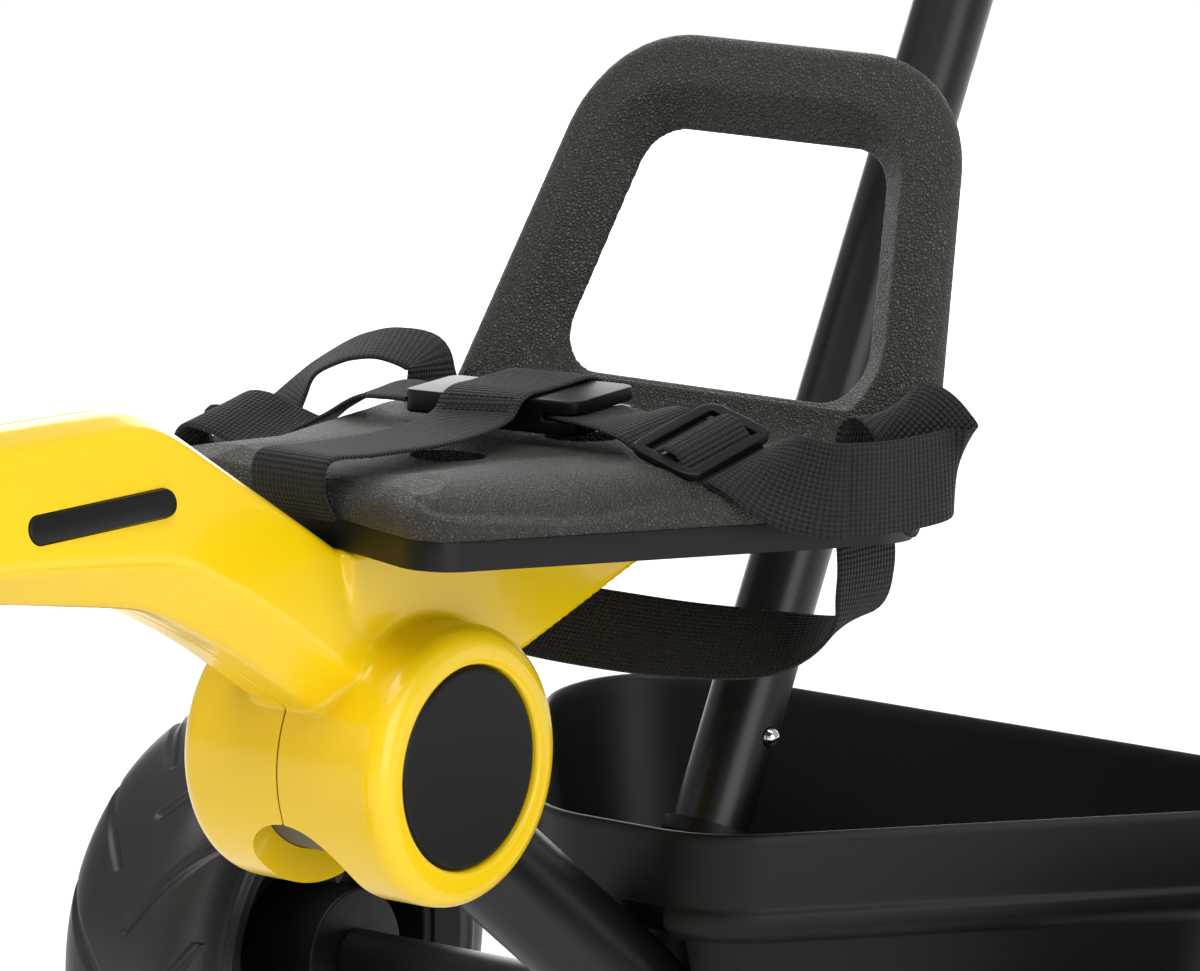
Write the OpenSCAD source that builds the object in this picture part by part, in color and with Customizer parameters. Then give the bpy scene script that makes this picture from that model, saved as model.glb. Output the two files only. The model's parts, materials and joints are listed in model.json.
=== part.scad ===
// Toddler push trike: folding rear frame with bucket and parent pole, harness seat, steered front wheel

/* [Rear wheels] */
// Radius of a rear wheel
wheel_radius = 94; // [86:1:98]
// Width of a rear tyre
tyre_width = 70; // [60:1:74]
// Distance between the rear wheel centres
track = 490; // [480:2:524]
// Radius of the rear axle rod
axle_radius = 6; // [5:0.5:7]

/* [Front wheel] */
// Radius of the front wheel
front_radius = 120; // [112:1:124]
// Width of the front tyre
front_tyre_width = 46; // [40:1:50]
// Length of a crank between its centres
crank_length = 72; // [62:1:78]
// Length of a pedal
pedal_length = 84; // [70:1:92]

/* [Body] */
// Radius of the hub barrel
hub_radius = 48; // [46:1:52]
// Length of the hub barrel
hub_length = 90; // [86:1:98]
// Width of the boom at its widest line
boom_width = 52; // [48:1:56]
// Width of the flat on top of the boom
boom_top_width = 34; // [30:1:38]
// Wall of the half shells
shell_wall = 3; // [2.4:0.2:4]
// Tilt of the steering axis from upright
head_tilt = 18; // [15:1:21]

/* [Rear frame] */
// Diameter of the leg tube
leg_diameter = 38; // [34:1:39]
// Wall of the steel tubes
tube_wall = 1.5; // [1.2:0.1:2]
// Angle that the rear frame folds through
fold_angle = 92; // [80:1:94]

/* [Seat] */
// Width of the seat across its rear
seat_width = 220; // [212:2:232]
// Thickness of the grained seat base
seat_base = 18; // [15:0.5:20]
// Height of the pan under the seat base
pan_height = 10; // [8:0.5:11]
// Height of the back along its slope
back_height = 172; // [160:1:186]
// Thickness of the back
back_thickness = 13; // [11:1:18]
// Lean of the back from upright
back_lean = 24; // [20:1:27]

/* [Harness] */
// Width of the webbing
webbing_width = 32; // [26:1:34]
// Thickness of the webbing
webbing_thickness = 1.6; // [1.2:0.1:1.8]

/* [Bucket] */
// Width of the bucket across its rim
bucket_width = 330; // [310:2:344]
// Length of the bucket from nose to rear wall
bucket_length = 222; // [206:2:250]
// Height of the bucket from floor to rim
bucket_height = 88; // [80:1:96]
// Height of the deep band under the rim
band_height = 35; // [28:1:40]
// Wall of the bucket
bucket_wall = 3; // [2.4:0.2:4]

/* [Pole] */
// Diameter of the parent pole
pole_diameter = 28; // [25:0.5:30]
// Length of the parent pole from the leg to its handle
pole_length = 930; // [700:10:1000]
// Length of the handle at the top of the pole
handle_length = 210; // [170:2:240]

/* [Handlebar] */
// Width of the handlebar over its grips
bar_width = 400; // [360:2:440]
// Diameter of the handlebar tube
bar_diameter = 22; // [20:1:25]
// Diameter of the grips
grip_diameter = 30; // [29:1:34]

/* [Fits] */
// Radial clearance of a running fit
running_gap = 0.05; // [0.02:0.01:0.1]
// Clearance beside a moving piece
side_gap = 0.5; // [0.4:0.1:0.8]

/* [Hidden] */
$fn = 64;
seam_gap = 0.2;
seat_gap = 0.1;

// Yellow hub: the origin of the layout is the middle of its barrel
axle_drop = 148;
axle_back = 233;
hub_height = wheel_radius + axle_drop;
cap_edge = 13.5;
cap_radius = hub_radius - cap_edge;
cap_gap = 0.5;
cap_sink = 1;
cap_face = 3;
cap_travel = 4;
cap_depth = 15;
cap_guide_radius = 20;
web_out = hub_length / 2 - cap_depth;
web_thickness = 3;
web_in = web_out - web_thickness;
sleeve_radius = hub_radius - 12;
sleeve_half = web_in - side_gap;
bolt_radius = 8;
bolt_head_radius = 12;
bolt_head = 3.5;
barrel_round = 6;

// Leg from the hub down to the axle, with the pole socket on it
leg_radius = leg_diameter / 2;
leg_angle = 37.9;
leg_run = 197;
leg_bend = [0, leg_run * cos(leg_angle), -leg_run * sin(leg_angle)];
axle_at = [0, axle_back, -axle_drop];
leg_tail = 24;
tail_dir = (axle_at - leg_bend) / norm(axle_at - leg_bend);
leg_end = axle_at + leg_tail * tail_dir;
tail_angle = atan2(-tail_dir.z, tail_dir.y);
first_dir = [0, cos(leg_angle), -sin(leg_angle)];
mitre_over = 15;
leg_slot = leg_diameter + 3;
plug_depth = 8;
plug_flange = 4;

// Pole on the leg
pole_lean = atan(0.5);
pole_dir = [0, sin(pole_lean), cos(pole_lean)];
pole_radius = pole_diameter / 2;
stub_radius = pole_radius - tube_wall - seat_gap;
socket_radius = pole_radius + 2;
socket_top = 68;
collar_height = 5;
collar_radius = socket_radius + 1;
stub_end = 190;
button_at = 104;
button_radius = 3.4;
button_proud = 3.5;
button_flange = 5;
button_travel = 4;
handle_radius = 11;
handle_grip_radius = handle_radius + 5;
handle_joint_radius = pole_radius + 4;
handle_joint_length = 50;

// Rear wheels and axle
axle_tube_radius = axle_radius + 5;
boss_reach = 4;
boss_half = tyre_width / 2 + boss_reach;
boss_radius = 26;
rim_radius = 58;
front_rim_radius = front_radius - 30;
grip_length = 108;
rim_lip = 5;
web_plate = 8;
nut_radius = 10;
nut_height = 6;
wheel_cap_radius = 32;
wheel_cap_height = 12;
tyre_round = 12;

// Bucket on the axle
floor_z = -axle_drop + axle_tube_radius + 0.3;
rim_z = floor_z + bucket_height;
band_z = rim_z - band_height;
bevel = 5;
bucket_front = 132;
bucket_mid = bucket_front + bucket_length * 0.53;
lower_inset = 11;
floor_inset = 24;
hump_gap = 2.5;
bucket_screw_x = 70;
bucket_screw_radius = 3;

// Boom and head
head_at = [0, -290, 110];
steer_dir = [0, sin(head_tilt), cos(head_tilt)];
head_half = 37;
head_radius = 27;
head_tube_radius = 18;
steerer_radius = 12;
bush_lip = 3;
boom_crown = 4;
platform_rear = 130;
gusset_half = 22;
trim_length = 70;
trim_height = 9.5;
trim_depth = 6;
trim_proud = 0.8;
trim_at = [0, -157, 106.5];

// Seat on its platform
seat_tilt = 4.6;
seat_z = 73.1;
seat_half = seat_width / 2;
back_at = 154;
crest_half = 40;
crest_y = 28;
crest_turn = 30.5;
flank_fall = 18;
flank_fall_rear = 22;
nose_y = -20;
nose_fall = 12;
hollow_y = 136;
hollow_radius = 210;
hollow_slope = 1.7;
back_round = 48;
slot_x = seat_half - 14;
slot_y = 148;
slot_width = 5;
slot_length = webbing_width + 6;
screw_y = [40, 112];
screw_head_radius = 6.5;
screw_head = 3.5;
screw_shank = 2.5;
screw_recess = 10;

// Front fork and wheel
axle_f_z = front_radius - hub_height;
axle_f_reach = (head_at.z - axle_f_z) / cos(head_tilt);
front_axle = head_at - axle_f_reach * steer_dir;
guard_gap = 6;
guard_wall = 3;
guard_radius = front_radius + guard_gap + guard_wall;
fork_half = front_tyre_width / 2 + 15;
fork_leg_radius = 9;
crown_radius = 12;
crown_at = guard_radius + crown_radius + 0.2;
crank_radius = 8;
fork_eye_radius = 14;
fork_eye_half = 6;
crank_x = fork_half + fork_eye_half + 4;
crank_plate = 8;
crank_arm_radius = 11;
pedal_pin_radius = 5;
pedal_width = 60;
pedal_height = 20;
clamp_height = 14;
stem_length = 240;
bar_sweep = [0, 22, 16];
bar_mid = 60;
bar_core = bar_diameter / 2 + 1.5;
bar_root = 5;

// Layout along Y so that the box is centred on the origin
front_reach = front_axle.y - front_radius;
handle_at = leg_bend + pole_length * pole_dir;
rear_reach = handle_at.y + handle_joint_radius;
hub_y = -(front_reach + rear_reach) / 2;

function unit(v) = v / norm(v);
function turned(a) = a > 180 ? a - 360 : a < -180 ? a + 360 : a;
function arc(c, r, a, d, n) = [for (k = [0:n]) c + r * [cos(a + d * k / n), sin(a + d * k / n)]];
function corner(p, c, q, r, n) =
    let (
        u = unit(p - c),
        v = unit(q - c),
        half = acos(u * v) / 2,
        m = c + unit(u + v) * r / sin(half),
        s = c + u * r / tan(half) - m,
        e = c + v * r / tan(half) - m,
        a = atan2(s.y, s.x),
        d = turned(atan2(e.y, e.x) - a)
    )
    arc(m, r, a, d, n);
function flat(p) = [p.x, p.y];
function rounded(pts, n = 6) =
    let (m = len(pts))
    [for (i = [0:m - 1])
        each corner(flat(pts[(i + m - 1) % m]), flat(pts[i]), flat(pts[(i + 1) % m]), pts[i].z, n)];
function mirrored(pts) = concat(pts, [for (i = [len(pts) - 1:-1:0]) [-pts[i].x, pts[i].y, pts[i].z]]);

// Closed skin through a list of rings with equal point counts
module loft(rings, thin = false) {
    n = len(rings[0]);
    m = len(rings);
    sides = [
        for (i = [0:m - 2])
            for (j = [0:n - 1])
                let (k = (j + 1) % n)
                    each thin && j >= n / 2
                        ? [[i * n + j, i * n + n + j, i * n + k], [i * n + n + j, i * n + n + k, i * n + k]]
                        : [[i * n + j, i * n + n + j, i * n + n + k], [i * n + j, i * n + n + k, i * n + k]]
    ];
    first = [for (j = [1:n - 2]) [0, j, j + 1]];
    last = [for (j = [1:n - 2]) [m * n - n, m * n - n + j + 1, m * n - n + j]];
    polyhedron(points = [for (ring = rings) each ring], faces = concat(first, sides, last));
}

// Round bar from one point to another
module bar(a, b, r) {
    v = b - a;
    translate(a)
        rotate([0, acos(v.z / norm(v)), atan2(v.y, v.x)])
            cylinder(h = norm(v), r = r);
}

// Cylinder along X, centred
module cross_bar(half, r) {
    rotate([0, 90, 0]) cylinder(h = 2 * half, r = r, center = true);
}

// Cylinder along X between two places
module cross_span(x0, x1, r) {
    translate([x0, 0, 0]) rotate([0, 90, 0]) cylinder(h = x1 - x0, r = r);
}

module at_hub() {
    translate([0, hub_y, hub_height]) children();
}

module at_head() {
    translate(head_at) rotate([-head_tilt, 0, 0]) children();
}

module at_seat() {
    translate([0, 0, seat_z]) rotate([-seat_tilt, 0, 0]) children();
}

module on_side(side) {
    if (side < 0) mirror([1, 0, 0]) children();
    else children();
}

// Boom

// One upright ring of the boom: place along Y, then heights of its top, widest line and underside
function boom_ring(y, top, mid, under, inset) = [
    [boom_top_width / 5, y, top + boom_crown - inset],
    [boom_top_width / 2 - inset * 0.7, y, top - inset],
    [boom_width / 2 - inset, y, mid],
    [boom_width / 4 - inset * 0.6, y, under + inset],
    [-boom_width / 4 + inset * 0.6, y, under + inset],
    [-boom_width / 2 + inset, y, mid],
    [-boom_top_width / 2 + inset * 0.7, y, top - inset],
    [-boom_top_width / 5, y, top + boom_crown - inset]
];

module boom_skin() {
    loft([
        boom_ring(-290, 134, 97, 86, 0),
        boom_ring(-200, 132.5, 96, 83, 0),
        boom_ring(-122, 130, 87, 69, 0),
        boom_ring(-80, 103.5, 64, 47, 0),
        boom_ring(-52, 86, 45, 28, 0),
        boom_ring(-30, 72, 30, 14, 0),
        boom_ring(-8, 60, 28, 6, 0)
    ]);
}

module boom_hollow() {
    loft([
        boom_ring(-255, 133.3, 97, 85, shell_wall),
        boom_ring(-200, 132.5, 96, 83, shell_wall),
        boom_ring(-122, 130, 87, 69, shell_wall),
        boom_ring(-80, 103.5, 64, 47, shell_wall),
        boom_ring(-56, 88.5, 48, 31, shell_wall)
    ]);
}

// Wedge under the seat, from the boom and the hub back to its tip
module gusset() {
    at_seat()
        translate([-gusset_half, 0, 0])
            rotate([90, 0, 90])
                linear_extrude(2 * gusset_half)
                    polygon([
                        [-34, 0], [platform_rear, 0], [platform_rear, -10], [46, -46], [20, -58], [-28, -50]
                    ]);
}

module barrel() {
    half = hub_length / 2;
    edge = [hub_radius - barrel_round, half - barrel_round];
    rotate([0, 90, 0])
        rotate_extrude()
            polygon(concat(
                [[0, -half]],
                [for (k = [0:5]) [edge.x + barrel_round * sin(18 * k), -edge.y - barrel_round * cos(18 * k)]],
                [for (k = [5:-1:0]) [edge.x + barrel_round * sin(18 * k), edge.y + barrel_round * cos(18 * k)]],
                [[0, half]]
            ));
}

// Opening that lets the leg swing forward under the hub
module leg_sweep() {
    sweep_end = leg_angle + fold_angle + 3;
    slot_ease = -0.3;
    rotate([-leg_angle, 0, 0])
        rotate([90, 0, 0])
            translate([0, 0, -hub_radius - 10])
                cylinder(h = hub_radius + 10, r = leg_slot / 2);
    rotate([-sweep_end, 0, 0])
        rotate([90, 0, 0])
            translate([0, 0, -hub_radius - 10])
                cylinder(h = hub_radius + 10, r = leg_slot / 2);
    rotate([0, 90, 0])
        rotate([0, 0, 90 - sweep_end])
            rotate_extrude(angle = sweep_end - leg_angle)
                translate([sleeve_radius - 6, -leg_slot / 2 - slot_ease])
                    square([30, leg_slot + 2 * slot_ease]);
}

module hub_cuts() {
    cross_bar(web_in, sleeve_radius + running_gap);
    cross_bar(hub_length, bolt_radius + running_gap);
    for (side = [-1, 1])
        on_side(side)
            difference() {
                cross_span(web_out, hub_length, cap_radius + cap_gap);
                cross_span(web_out - 1, web_out + 6.7, cap_guide_radius);
            }
    for (side = [-1, 1])
        on_side(side)
            cross_span(web_out, hub_length, bolt_head_radius + seat_gap);
    leg_sweep();
}

// Lozenge with round ends for the trim and its pocket, on the sloping side of the boom
module trim_form(grow, low, high) {
    slope = atan((boom_width - boom_top_width) / 2 / 38);
    face_x = boom_top_width / 2 + (boom_width - boom_top_width) / 2 * (131 - trim_at.z) / 36;
    run = trim_length - trim_height;
    translate([face_x, trim_at.y, trim_at.z])
        rotate([0, -slope, 0])
            rotate([0, 90, 0])
                translate([0, 0, low])
                    linear_extrude(high - low)
                        union() {
                            square([trim_height + 2 * grow, run], center = true);
                            for (end = [-1, 1])
                                translate([0, end * run / 2]) circle(r = trim_height / 2 + grow);
                        }
}

shell_screw_at = [[0, -235, 108], [0, -120, 100], [0, -66, 66], [0, 96, 54]];

module shell_screw_forms(grow) {
    for (p = shell_screw_at)
        translate(p) {
            cross_span(-boom_width, -12, 4 + grow);
            cross_span(-12.1, 10, 1.5 + grow);
        }
}

module shell_body() {
    difference() {
        union() {
            difference() {
                boom_skin();
                boom_hollow();
            }
            intersection() {
                for (p = shell_screw_at)
                    translate(p) cross_bar(boom_width / 2, 7);
                boom_skin();
            }
            gusset();
            barrel();
            at_head() cylinder(h = 2 * head_half, r = head_radius, center = true);
        }
        hub_cuts();
        at_head() cylinder(h = 4 * head_half, r = head_tube_radius + seat_gap, center = true);
        for (side = [-1, 1])
            on_side(side) trim_form(0.15, -trim_depth - 0.1, 20);
        for (p = shell_screw_at)
            translate(p) {
                cross_span(-boom_width, -12, 4.2);
                cross_span(-13, 10.2, 1.6);
            }
        at_seat()
            for (y = screw_y)
                translate([0, y, -16]) cylinder(h = 20, r = screw_shank + seat_gap);
        at_seat() translate([-300, -34.5, 0]) cube([600, 700, 200]);
    }
}

module half_shell(side) {
    color("gold")
        at_hub()
            intersection() {
                shell_body();
                on_side(side) translate([seam_gap / 2, -500, -200]) cube([200, 1000, 600]);
            }
}

module shell_left() { half_shell(1); }
module shell_right() { half_shell(-1); }

module trim(side) {
    color("black") at_hub() on_side(side) trim_form(0, -trim_depth, trim_proud);
}
module trim_left() { trim(1); }
module trim_right() { trim(-1); }

module shell_screws() {
    color("silver")
        at_hub()
            for (p = shell_screw_at)
                translate(p) {
                    cross_span(-15, -12.1, 3.9);
                    cross_span(-12.2, 10, 1.5);
                }
}

module pivot_bolt() {
    color("silver")
        at_hub() {
            cross_bar(web_out + bolt_head, bolt_radius);
            for (side = [-1, 1])
                on_side(side) cross_span(web_out, web_out + bolt_head, bolt_head_radius);
        }
}

module head_tube() {
    color("dimgray")
        at_hub()
            at_head()
                difference() {
                    cylinder(h = 2 * head_half, r = head_tube_radius, center = true);
                    cylinder(h = 3 * head_half, r = head_tube_radius - 2, center = true);
                }
}

module bush(side) {
    color("dimgray")
        at_hub()
            at_head()
                mirror([0, 0, side < 0 ? 1 : 0])
                    difference() {
                        union() {
                            translate([0, 0, head_half - 14])
                                cylinder(h = 14, r = head_tube_radius - 2 - seat_gap);
                            translate([0, 0, head_half]) cylinder(h = bush_lip, r = head_tube_radius + 3);
                        }
                        cylinder(h = 3 * head_half, r = steerer_radius + running_gap);
                    }
}
module bush_upper() { bush(1); }
module bush_lower() { bush(-1); }

// Round cap on the hub: pressed inward to free the fold
module hub_button(side) {
    outer = hub_length / 2 - cap_sink;
    color("black")
        at_hub()
            on_side(side)
                difference() {
                    union() {
                        cross_span(outer - cap_face, outer - 1, cap_radius);
                        translate([outer - 1, 0, 0])
                            rotate([0, 90, 0]) cylinder(h = 1, r1 = cap_radius, r2 = cap_radius - 1.5);
                        cross_span(web_out + cap_travel + 0.3, outer - cap_face + 0.1, cap_guide_radius + 3);
                    }
                    cross_span(web_out, outer - cap_face, cap_guide_radius + running_gap);
                }
}
module hub_button_left() { hub_button(1); }
module hub_button_right() { hub_button(-1); }

// Seat

seat_plan = mirrored([
    [12, -33, 7], [72, -58, 14], [seat_half, slot_y, 30], [seat_half - 4, 185, 28]
]);

// Room above one slope of the seat: from a line over the top, turned from straight back, falling outwards
module seat_fall(side, at, turn, fall) {
    translate([side * at.x, at.y, pan_height + seat_base])
        rotate([0, 0, -side * turn])
            rotate([0, side * fall, 0])
                translate([side > 0 ? 0 : -400, -400, 0])
                    cube([400, 800, 100]);
}

// Slopes under the thighs, the fall of the nose and the shallow hollow between
module seat_hollows() {
    for (side = [-1, 1])
        intersection() {
            seat_fall(side, [crest_half, 0], 0, flank_fall);
            seat_fall(side, [crest_half, crest_y], crest_turn, flank_fall_rear);
        }
    translate([-200, nose_y, pan_height + seat_base])
        rotate([nose_fall, 0, 0])
            translate([0, -300, 0])
                cube([400, 300, 100]);
    translate([0, hollow_y, pan_height + seat_base + hollow_radius])
        rotate([90 + hollow_slope, 0, 0])
            cylinder(h = 260, r = hollow_radius);
}

module seat_slots() {
    for (side = [-1, 1])
        translate([side * slot_x - slot_width / 2, slot_y - slot_length / 2, -50])
            cube([slot_width, slot_length, 200]);
}

// Outline of the back, up its slope
module back_outline(window_inset) {
    foot = seat_half - 3;
    waist = seat_half - 23;
    shoulder = [waist - back_round, back_height - back_round];
    side = arc(shoulder, back_round, 12, 78, 12);
    low = 46 + window_inset;
    high = back_height - 33 - window_inset;
    difference() {
        polygon(concat(
            [[foot, 0], [foot, 30]],
            side,
            [for (i = [len(side) - 1:-1:0]) [-side[i].x, side[i].y]],
            [[-foot, 30], [-foot, 0]]
        ));
        polygon(rounded([
            [-71 + window_inset, low, 18], [71 - window_inset, low, 18],
            [53 - window_inset, high, 18], [-53 + window_inset, high, 18]
        ]));
    }
}

module seat_back() {
    front = back_thickness / 2;
    translate([0, back_at, 0])
        rotate([-back_lean + seat_tilt, 0, 0])
            rotate([90, 0, 0]) {
                translate([0, 0, -front]) linear_extrude(front) back_outline(0);
                translate([0, 0, -back_thickness]) linear_extrude(front + 0.01) back_outline(4);
            }
}

module seat_shell() {
    color("dimgray")
        at_hub()
            at_seat()
                difference() {
                    union() {
                        translate([0, 0, pan_height]) linear_extrude(seat_base) polygon(rounded(seat_plan));
                        seat_back();
                    }
                    translate([-300, -300, -100]) cube([600, 600, 100 + pan_height]);
                    seat_hollows();
                    seat_slots();
                    for (y = screw_y)
                        translate([0, y, 0]) cylinder(h = 60, r = screw_recess);
                }
}

module seat_pan() {
    shrink = (seat_half - 3) / seat_half;
    color("black")
        at_hub()
            at_seat()
                difference() {
                    linear_extrude(pan_height)
                        polygon([for (p = rounded(seat_plan)) [p.x * shrink, 66 + (p.y - 66) * shrink]]);
                    seat_slots();
                    for (y = screw_y)
                        translate([0, y, -1]) cylinder(h = 60, r = screw_shank + seat_gap);
                }
}

module seat_screws() {
    color("silver")
        at_hub()
            at_seat()
                for (y = screw_y)
                    translate([0, y, 0]) {
                        translate([0, 0, pan_height]) cylinder(h = screw_head, r = screw_head_radius);
                        translate([0, 0, -15]) cylinder(h = 15 + pan_height, r = screw_shank);
                    }
}

// Harness

function spline(a, b, c, d, t) =
    0.5 * ((2 * b) + (c - a) * t + (2 * a - 5 * b + 4 * c - d) * t * t + (3 * b - a - 3 * c + d) * t * t * t);
function eased(route, n) =
    let (m = len(route))
    concat(
        [for (i = [0:m - 2]) for (k = [0:n - 1])
            spline(route[max(i - 1, 0)], route[i], route[i + 1], route[min(i + 2, m - 1)], k / n)],
        [route[m - 1]]
    );
function place(p) = [p[0], p[1], p[2]];
function across(p) = unit([p[3], p[4], p[5]]);

// Band of webbing along a route; each point gives its place and the direction of the band's width
module webbing(route) {
    path = eased(route, 4);
    m = len(path);
    loft([
        for (i = [0:m - 1])
            let (
                t = unit(place(path[min(i + 1, m - 1)]) - place(path[max(i - 1, 0)])),
                n = unit(cross(t, across(path[i]))),
                w = cross(n, t) * webbing_width / 2,
                h = n * webbing_thickness / 2
            )
                [for (s = [[1, -1], [1, 1], [-1, 1], [-1, -1]]) place(path[i]) + s.x * w + s.y * h]
    ], true);
}

strap_rest = 0.3;
buckle_at = [-1, 103, 103.2];
buckle_turn = 8.5;
buckle_size = [38, webbing_width + 10, 12];
buckle_dir = [cos(buckle_turn), sin(buckle_turn), 0];
buckle_across = [sin(buckle_turn), -cos(buckle_turn), 0];
housing_slot = 14;
prong_height = 4;
tongue_reach = 40;
tongue_size = [26, webbing_width + 2, 8];
tongue_end = buckle_at - (tongue_reach + tongue_size.x / 2 + strap_rest) * buckle_dir;
triglide_at = [73, 87.5, 101.5];
triglide_turn = -2;
triglide_drop = 15;
triglide_tilt = 15;
triglide_size = [30, webbing_width + 10, 3];
triglide_rail = 4.5;
rail_out = (triglide_size.x - triglide_rail) / 2;
weave = (triglide_size.z + webbing_thickness) / 2 + 2 * strap_rest;
glide_dir = [
    cos(triglide_turn) * cos(triglide_drop), sin(triglide_turn) * cos(triglide_drop), -sin(triglide_drop)
];
glide_level = [-sin(triglide_turn), cos(triglide_turn), 0];
glide_across = cos(triglide_tilt) * glide_level + sin(triglide_tilt) * cross(glide_dir, glide_level);
glide_up = cross(glide_dir, glide_across);
// Place on the webbing at the triglide: along the webbing, then off the plate
function at_glide(along, off) =
    let (p = triglide_at + along * glide_dir + off * glide_up)
    [p.x, p.y, p.z, glide_across.x, glide_across.y, glide_across.z];
// Place on the webbing that leads straight out of the tongue
function at_tongue(before) =
    let (p = tongue_end - before * buckle_dir)
    [p.x, p.y, p.z, buckle_across.x, buckle_across.y, 0];
housing_top = buckle_at.z + buckle_size.z / 2 + webbing_thickness / 2 + strap_rest;

lap_left_route = [
    [slot_x, 148, 72, 0, 1, 0],
    [slot_x, 148, 84, 0, 1, 0],
    [slot_x, 148, 94, 0, 1, 0],
    [slot_x + 1.5, 148.6, 101, 0.08, 0.99, 0],
    [slot_x + 6, 149.6, 105.5, 0.2, 0.95, 0.15],
    [slot_x + 13, 151, 106, 0.35, 0.82, 0.4],
    [slot_x + 20, 152.8, 102, 0.48, 0.58, 0.65],
    [slot_x + 26, 154.8, 96.5, 0.5, 0.3, 0.8],
    [slot_x + 31, 156, 92, 0.45, 0.1, 0.9],
    [slot_x + 34.5, 154, 89.5, 0.25, 0, 0.97],
    [slot_x + 35, 148.5, 88.3, 0.05, 0, 1],
    [slot_x + 33.5, 139, 87.5, 0, 0, 1],
    [slot_x + 30.5, 125.5, 87, 0, 0.02, 1],
    [slot_x + 26.5, 112, 87.3, 0, 0.05, 1],
    [slot_x + 20.5, 100, 88.2, 0, 0.15, 0.98],
    [slot_x + 12, 91.5, 91, 0, 0.42, 0.9],
    [slot_x + 1, 87.6, 93.6, 0.05, 0.85, 0.45],
    at_glide(rail_out + 4, -weave),
    at_glide(rail_out, -weave),
    at_glide(rail_out * 0.78, -weave * 0.9),
    at_glide(rail_out / 2, 0),
    at_glide(rail_out * 0.22, weave * 0.9),
    at_glide(0, weave),
    at_glide(-rail_out * 0.22, weave * 0.9),
    at_glide(-rail_out / 2, 0),
    at_glide(-rail_out * 0.78, -weave * 0.9),
    at_glide(-rail_out, -weave),
    at_glide(-rail_out - 4.5, -weave),
    [49, 89.6, 105.2, 0.12, 0.97, 0.2],
    [39, 92.2, 105, 0.22, 0.96, 0.1],
    [30, 95.2, buckle_at.z + 0.3, 0.28, 0.95, 0],
    [21, 98, buckle_at.z, 0.28, 0.96, 0],
    [12, 100.8, buckle_at.z, 0.28, 0.96, 0]
];
lap_right_route = [
    [-slot_x, 148, 72, 0, -1, 0],
    [-slot_x, 148, 93, 0.1, -1, -0.1],
    [-slot_x - 3, 148, 104, 0.35, -0.9, -0.25],
    [-slot_x - 14, 142, 108, 0.45, -0.88, -0.18],
    [-slot_x - 23, 137, 107, 0.5, -0.86, -0.12],
    [-slot_x - 30, 133, 104, 0.52, -0.85, -0.08],
    [-slot_x - 37, 129, 99, 0.61, -0.79, 0],
    [-slot_x - 42, 125, 92, 0.75, -0.66, 0],
    [-slot_x - 46, 119, 84, 0.87, -0.49, 0],
    [-slot_x - 50, 110, 77, 0.9, -0.4, 0],
    [-slot_x - 54, 99, 72.5, 0.75, -0.62, -0.1],
    [-slot_x - 57, 91, 76, 0.35, -0.9, -0.2],
    [-slot_x - 54, 87, 84, 0, -0.96, -0.25],
    [-slot_x - 47, 86, 88.5, -0.2, -0.94, -0.27],
    [-slot_x - 37, 86, 88.5, -0.24, -0.93, -0.27],
    [-slot_x - 23, 87, 85, -0.2, -0.95, -0.25],
    [-slot_x - 11, 89, 84.5, -0.1, -0.97, -0.2],
    [-slot_x - 1, 90.5, 90.5, 0, -0.98, -0.16],
    [-slot_x + 9, 92, 96, 0.1, -0.98, -0.12],
    [-slot_x + 22, 93.2, 102.2, 0.148, -0.989, -0.03],
    at_tongue(8),
    at_tongue(0)
];
crotch_route = [
    [0, -35.0, 86, 1, 0, 0],
    [0, -40.5, 96, 1, 0, 0],
    [0, -37, 106, 1, 0, 0],
    [0, -15, 105, 1, 0, 0],
    [-2, 18, 103, 1, 0, 0],
    [-6, 46, 102.5, 1, 0, 0],
    [-10, 66, 104, 0.99, 0.1, 0],
    [-12, 74.5, 108.8, 0.989, 0.148, 0],
    [-13.5, 82, housing_top + 0.2, 0.989, 0.148, 0],
    [-15, 92, housing_top, 0.989, 0.148, 0],
    [-17, 106, housing_top, 0.989, 0.148, 0],
    [-19, 120, housing_top, 0.989, 0.148, 0],
    [-21, 130, housing_top - 3, 0.989, 0.148, 0],
    [-21.5, 133, housing_top - 9, 0.989, 0.148, 0]
];
under_half = [
    [slot_x, 148, 70.4, 0, 1, 0],
    [slot_x + 1, 148, 50, 0, 1, 0.1],
    [slot_x - 4, 146, 34, 0, 1, 0.25],
    [72, 138, 24, 0.1, 0.85, 0.5],
    [38, 128, 22, 0, 0.75, 0.66]
];
under_route = concat(
    under_half,
    [[0, 124, 22, 0, 0.7, 0.7]],
    [for (i = [len(under_half) - 1:-1:0]) let (p = under_half[i]) [-p[0], p[1], p[2], -p[3], p[4], p[5]]]
);

module strap_lap_left() { color("black") at_hub() webbing(lap_left_route); }
module strap_lap_right() { color("black") at_hub() webbing(lap_right_route); }
module strap_crotch() { color("black") at_hub() webbing(crotch_route); }
module strap_under() { color("black") at_hub() webbing(under_route); }

module rounded_block(size, r) {
    linear_extrude(size.z, center = true)
        polygon(rounded([
            [-size.x / 2, -size.y / 2, r], [size.x / 2, -size.y / 2, r],
            [size.x / 2, size.y / 2, r], [-size.x / 2, size.y / 2, r]
        ], 4));
}

module buckle_housing() {
    color("black")
        at_hub()
            translate(buckle_at)
                rotate([0, 0, buckle_turn])
                    difference() {
                        rounded_block(buckle_size, 6);
                        translate([-buckle_size.x / 2 - 1, -webbing_width / 2, -prong_height / 2 - strap_rest])
                            cube([24, webbing_width, prong_height + 2 * strap_rest]);
                        translate([buckle_size.x / 2 - housing_slot, -buckle_size.y / 2 - 1, -webbing_thickness / 2 - strap_rest])
                            cube([housing_slot + 1, buckle_size.y + 2, webbing_thickness + 2 * strap_rest]);
                    }
}

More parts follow.
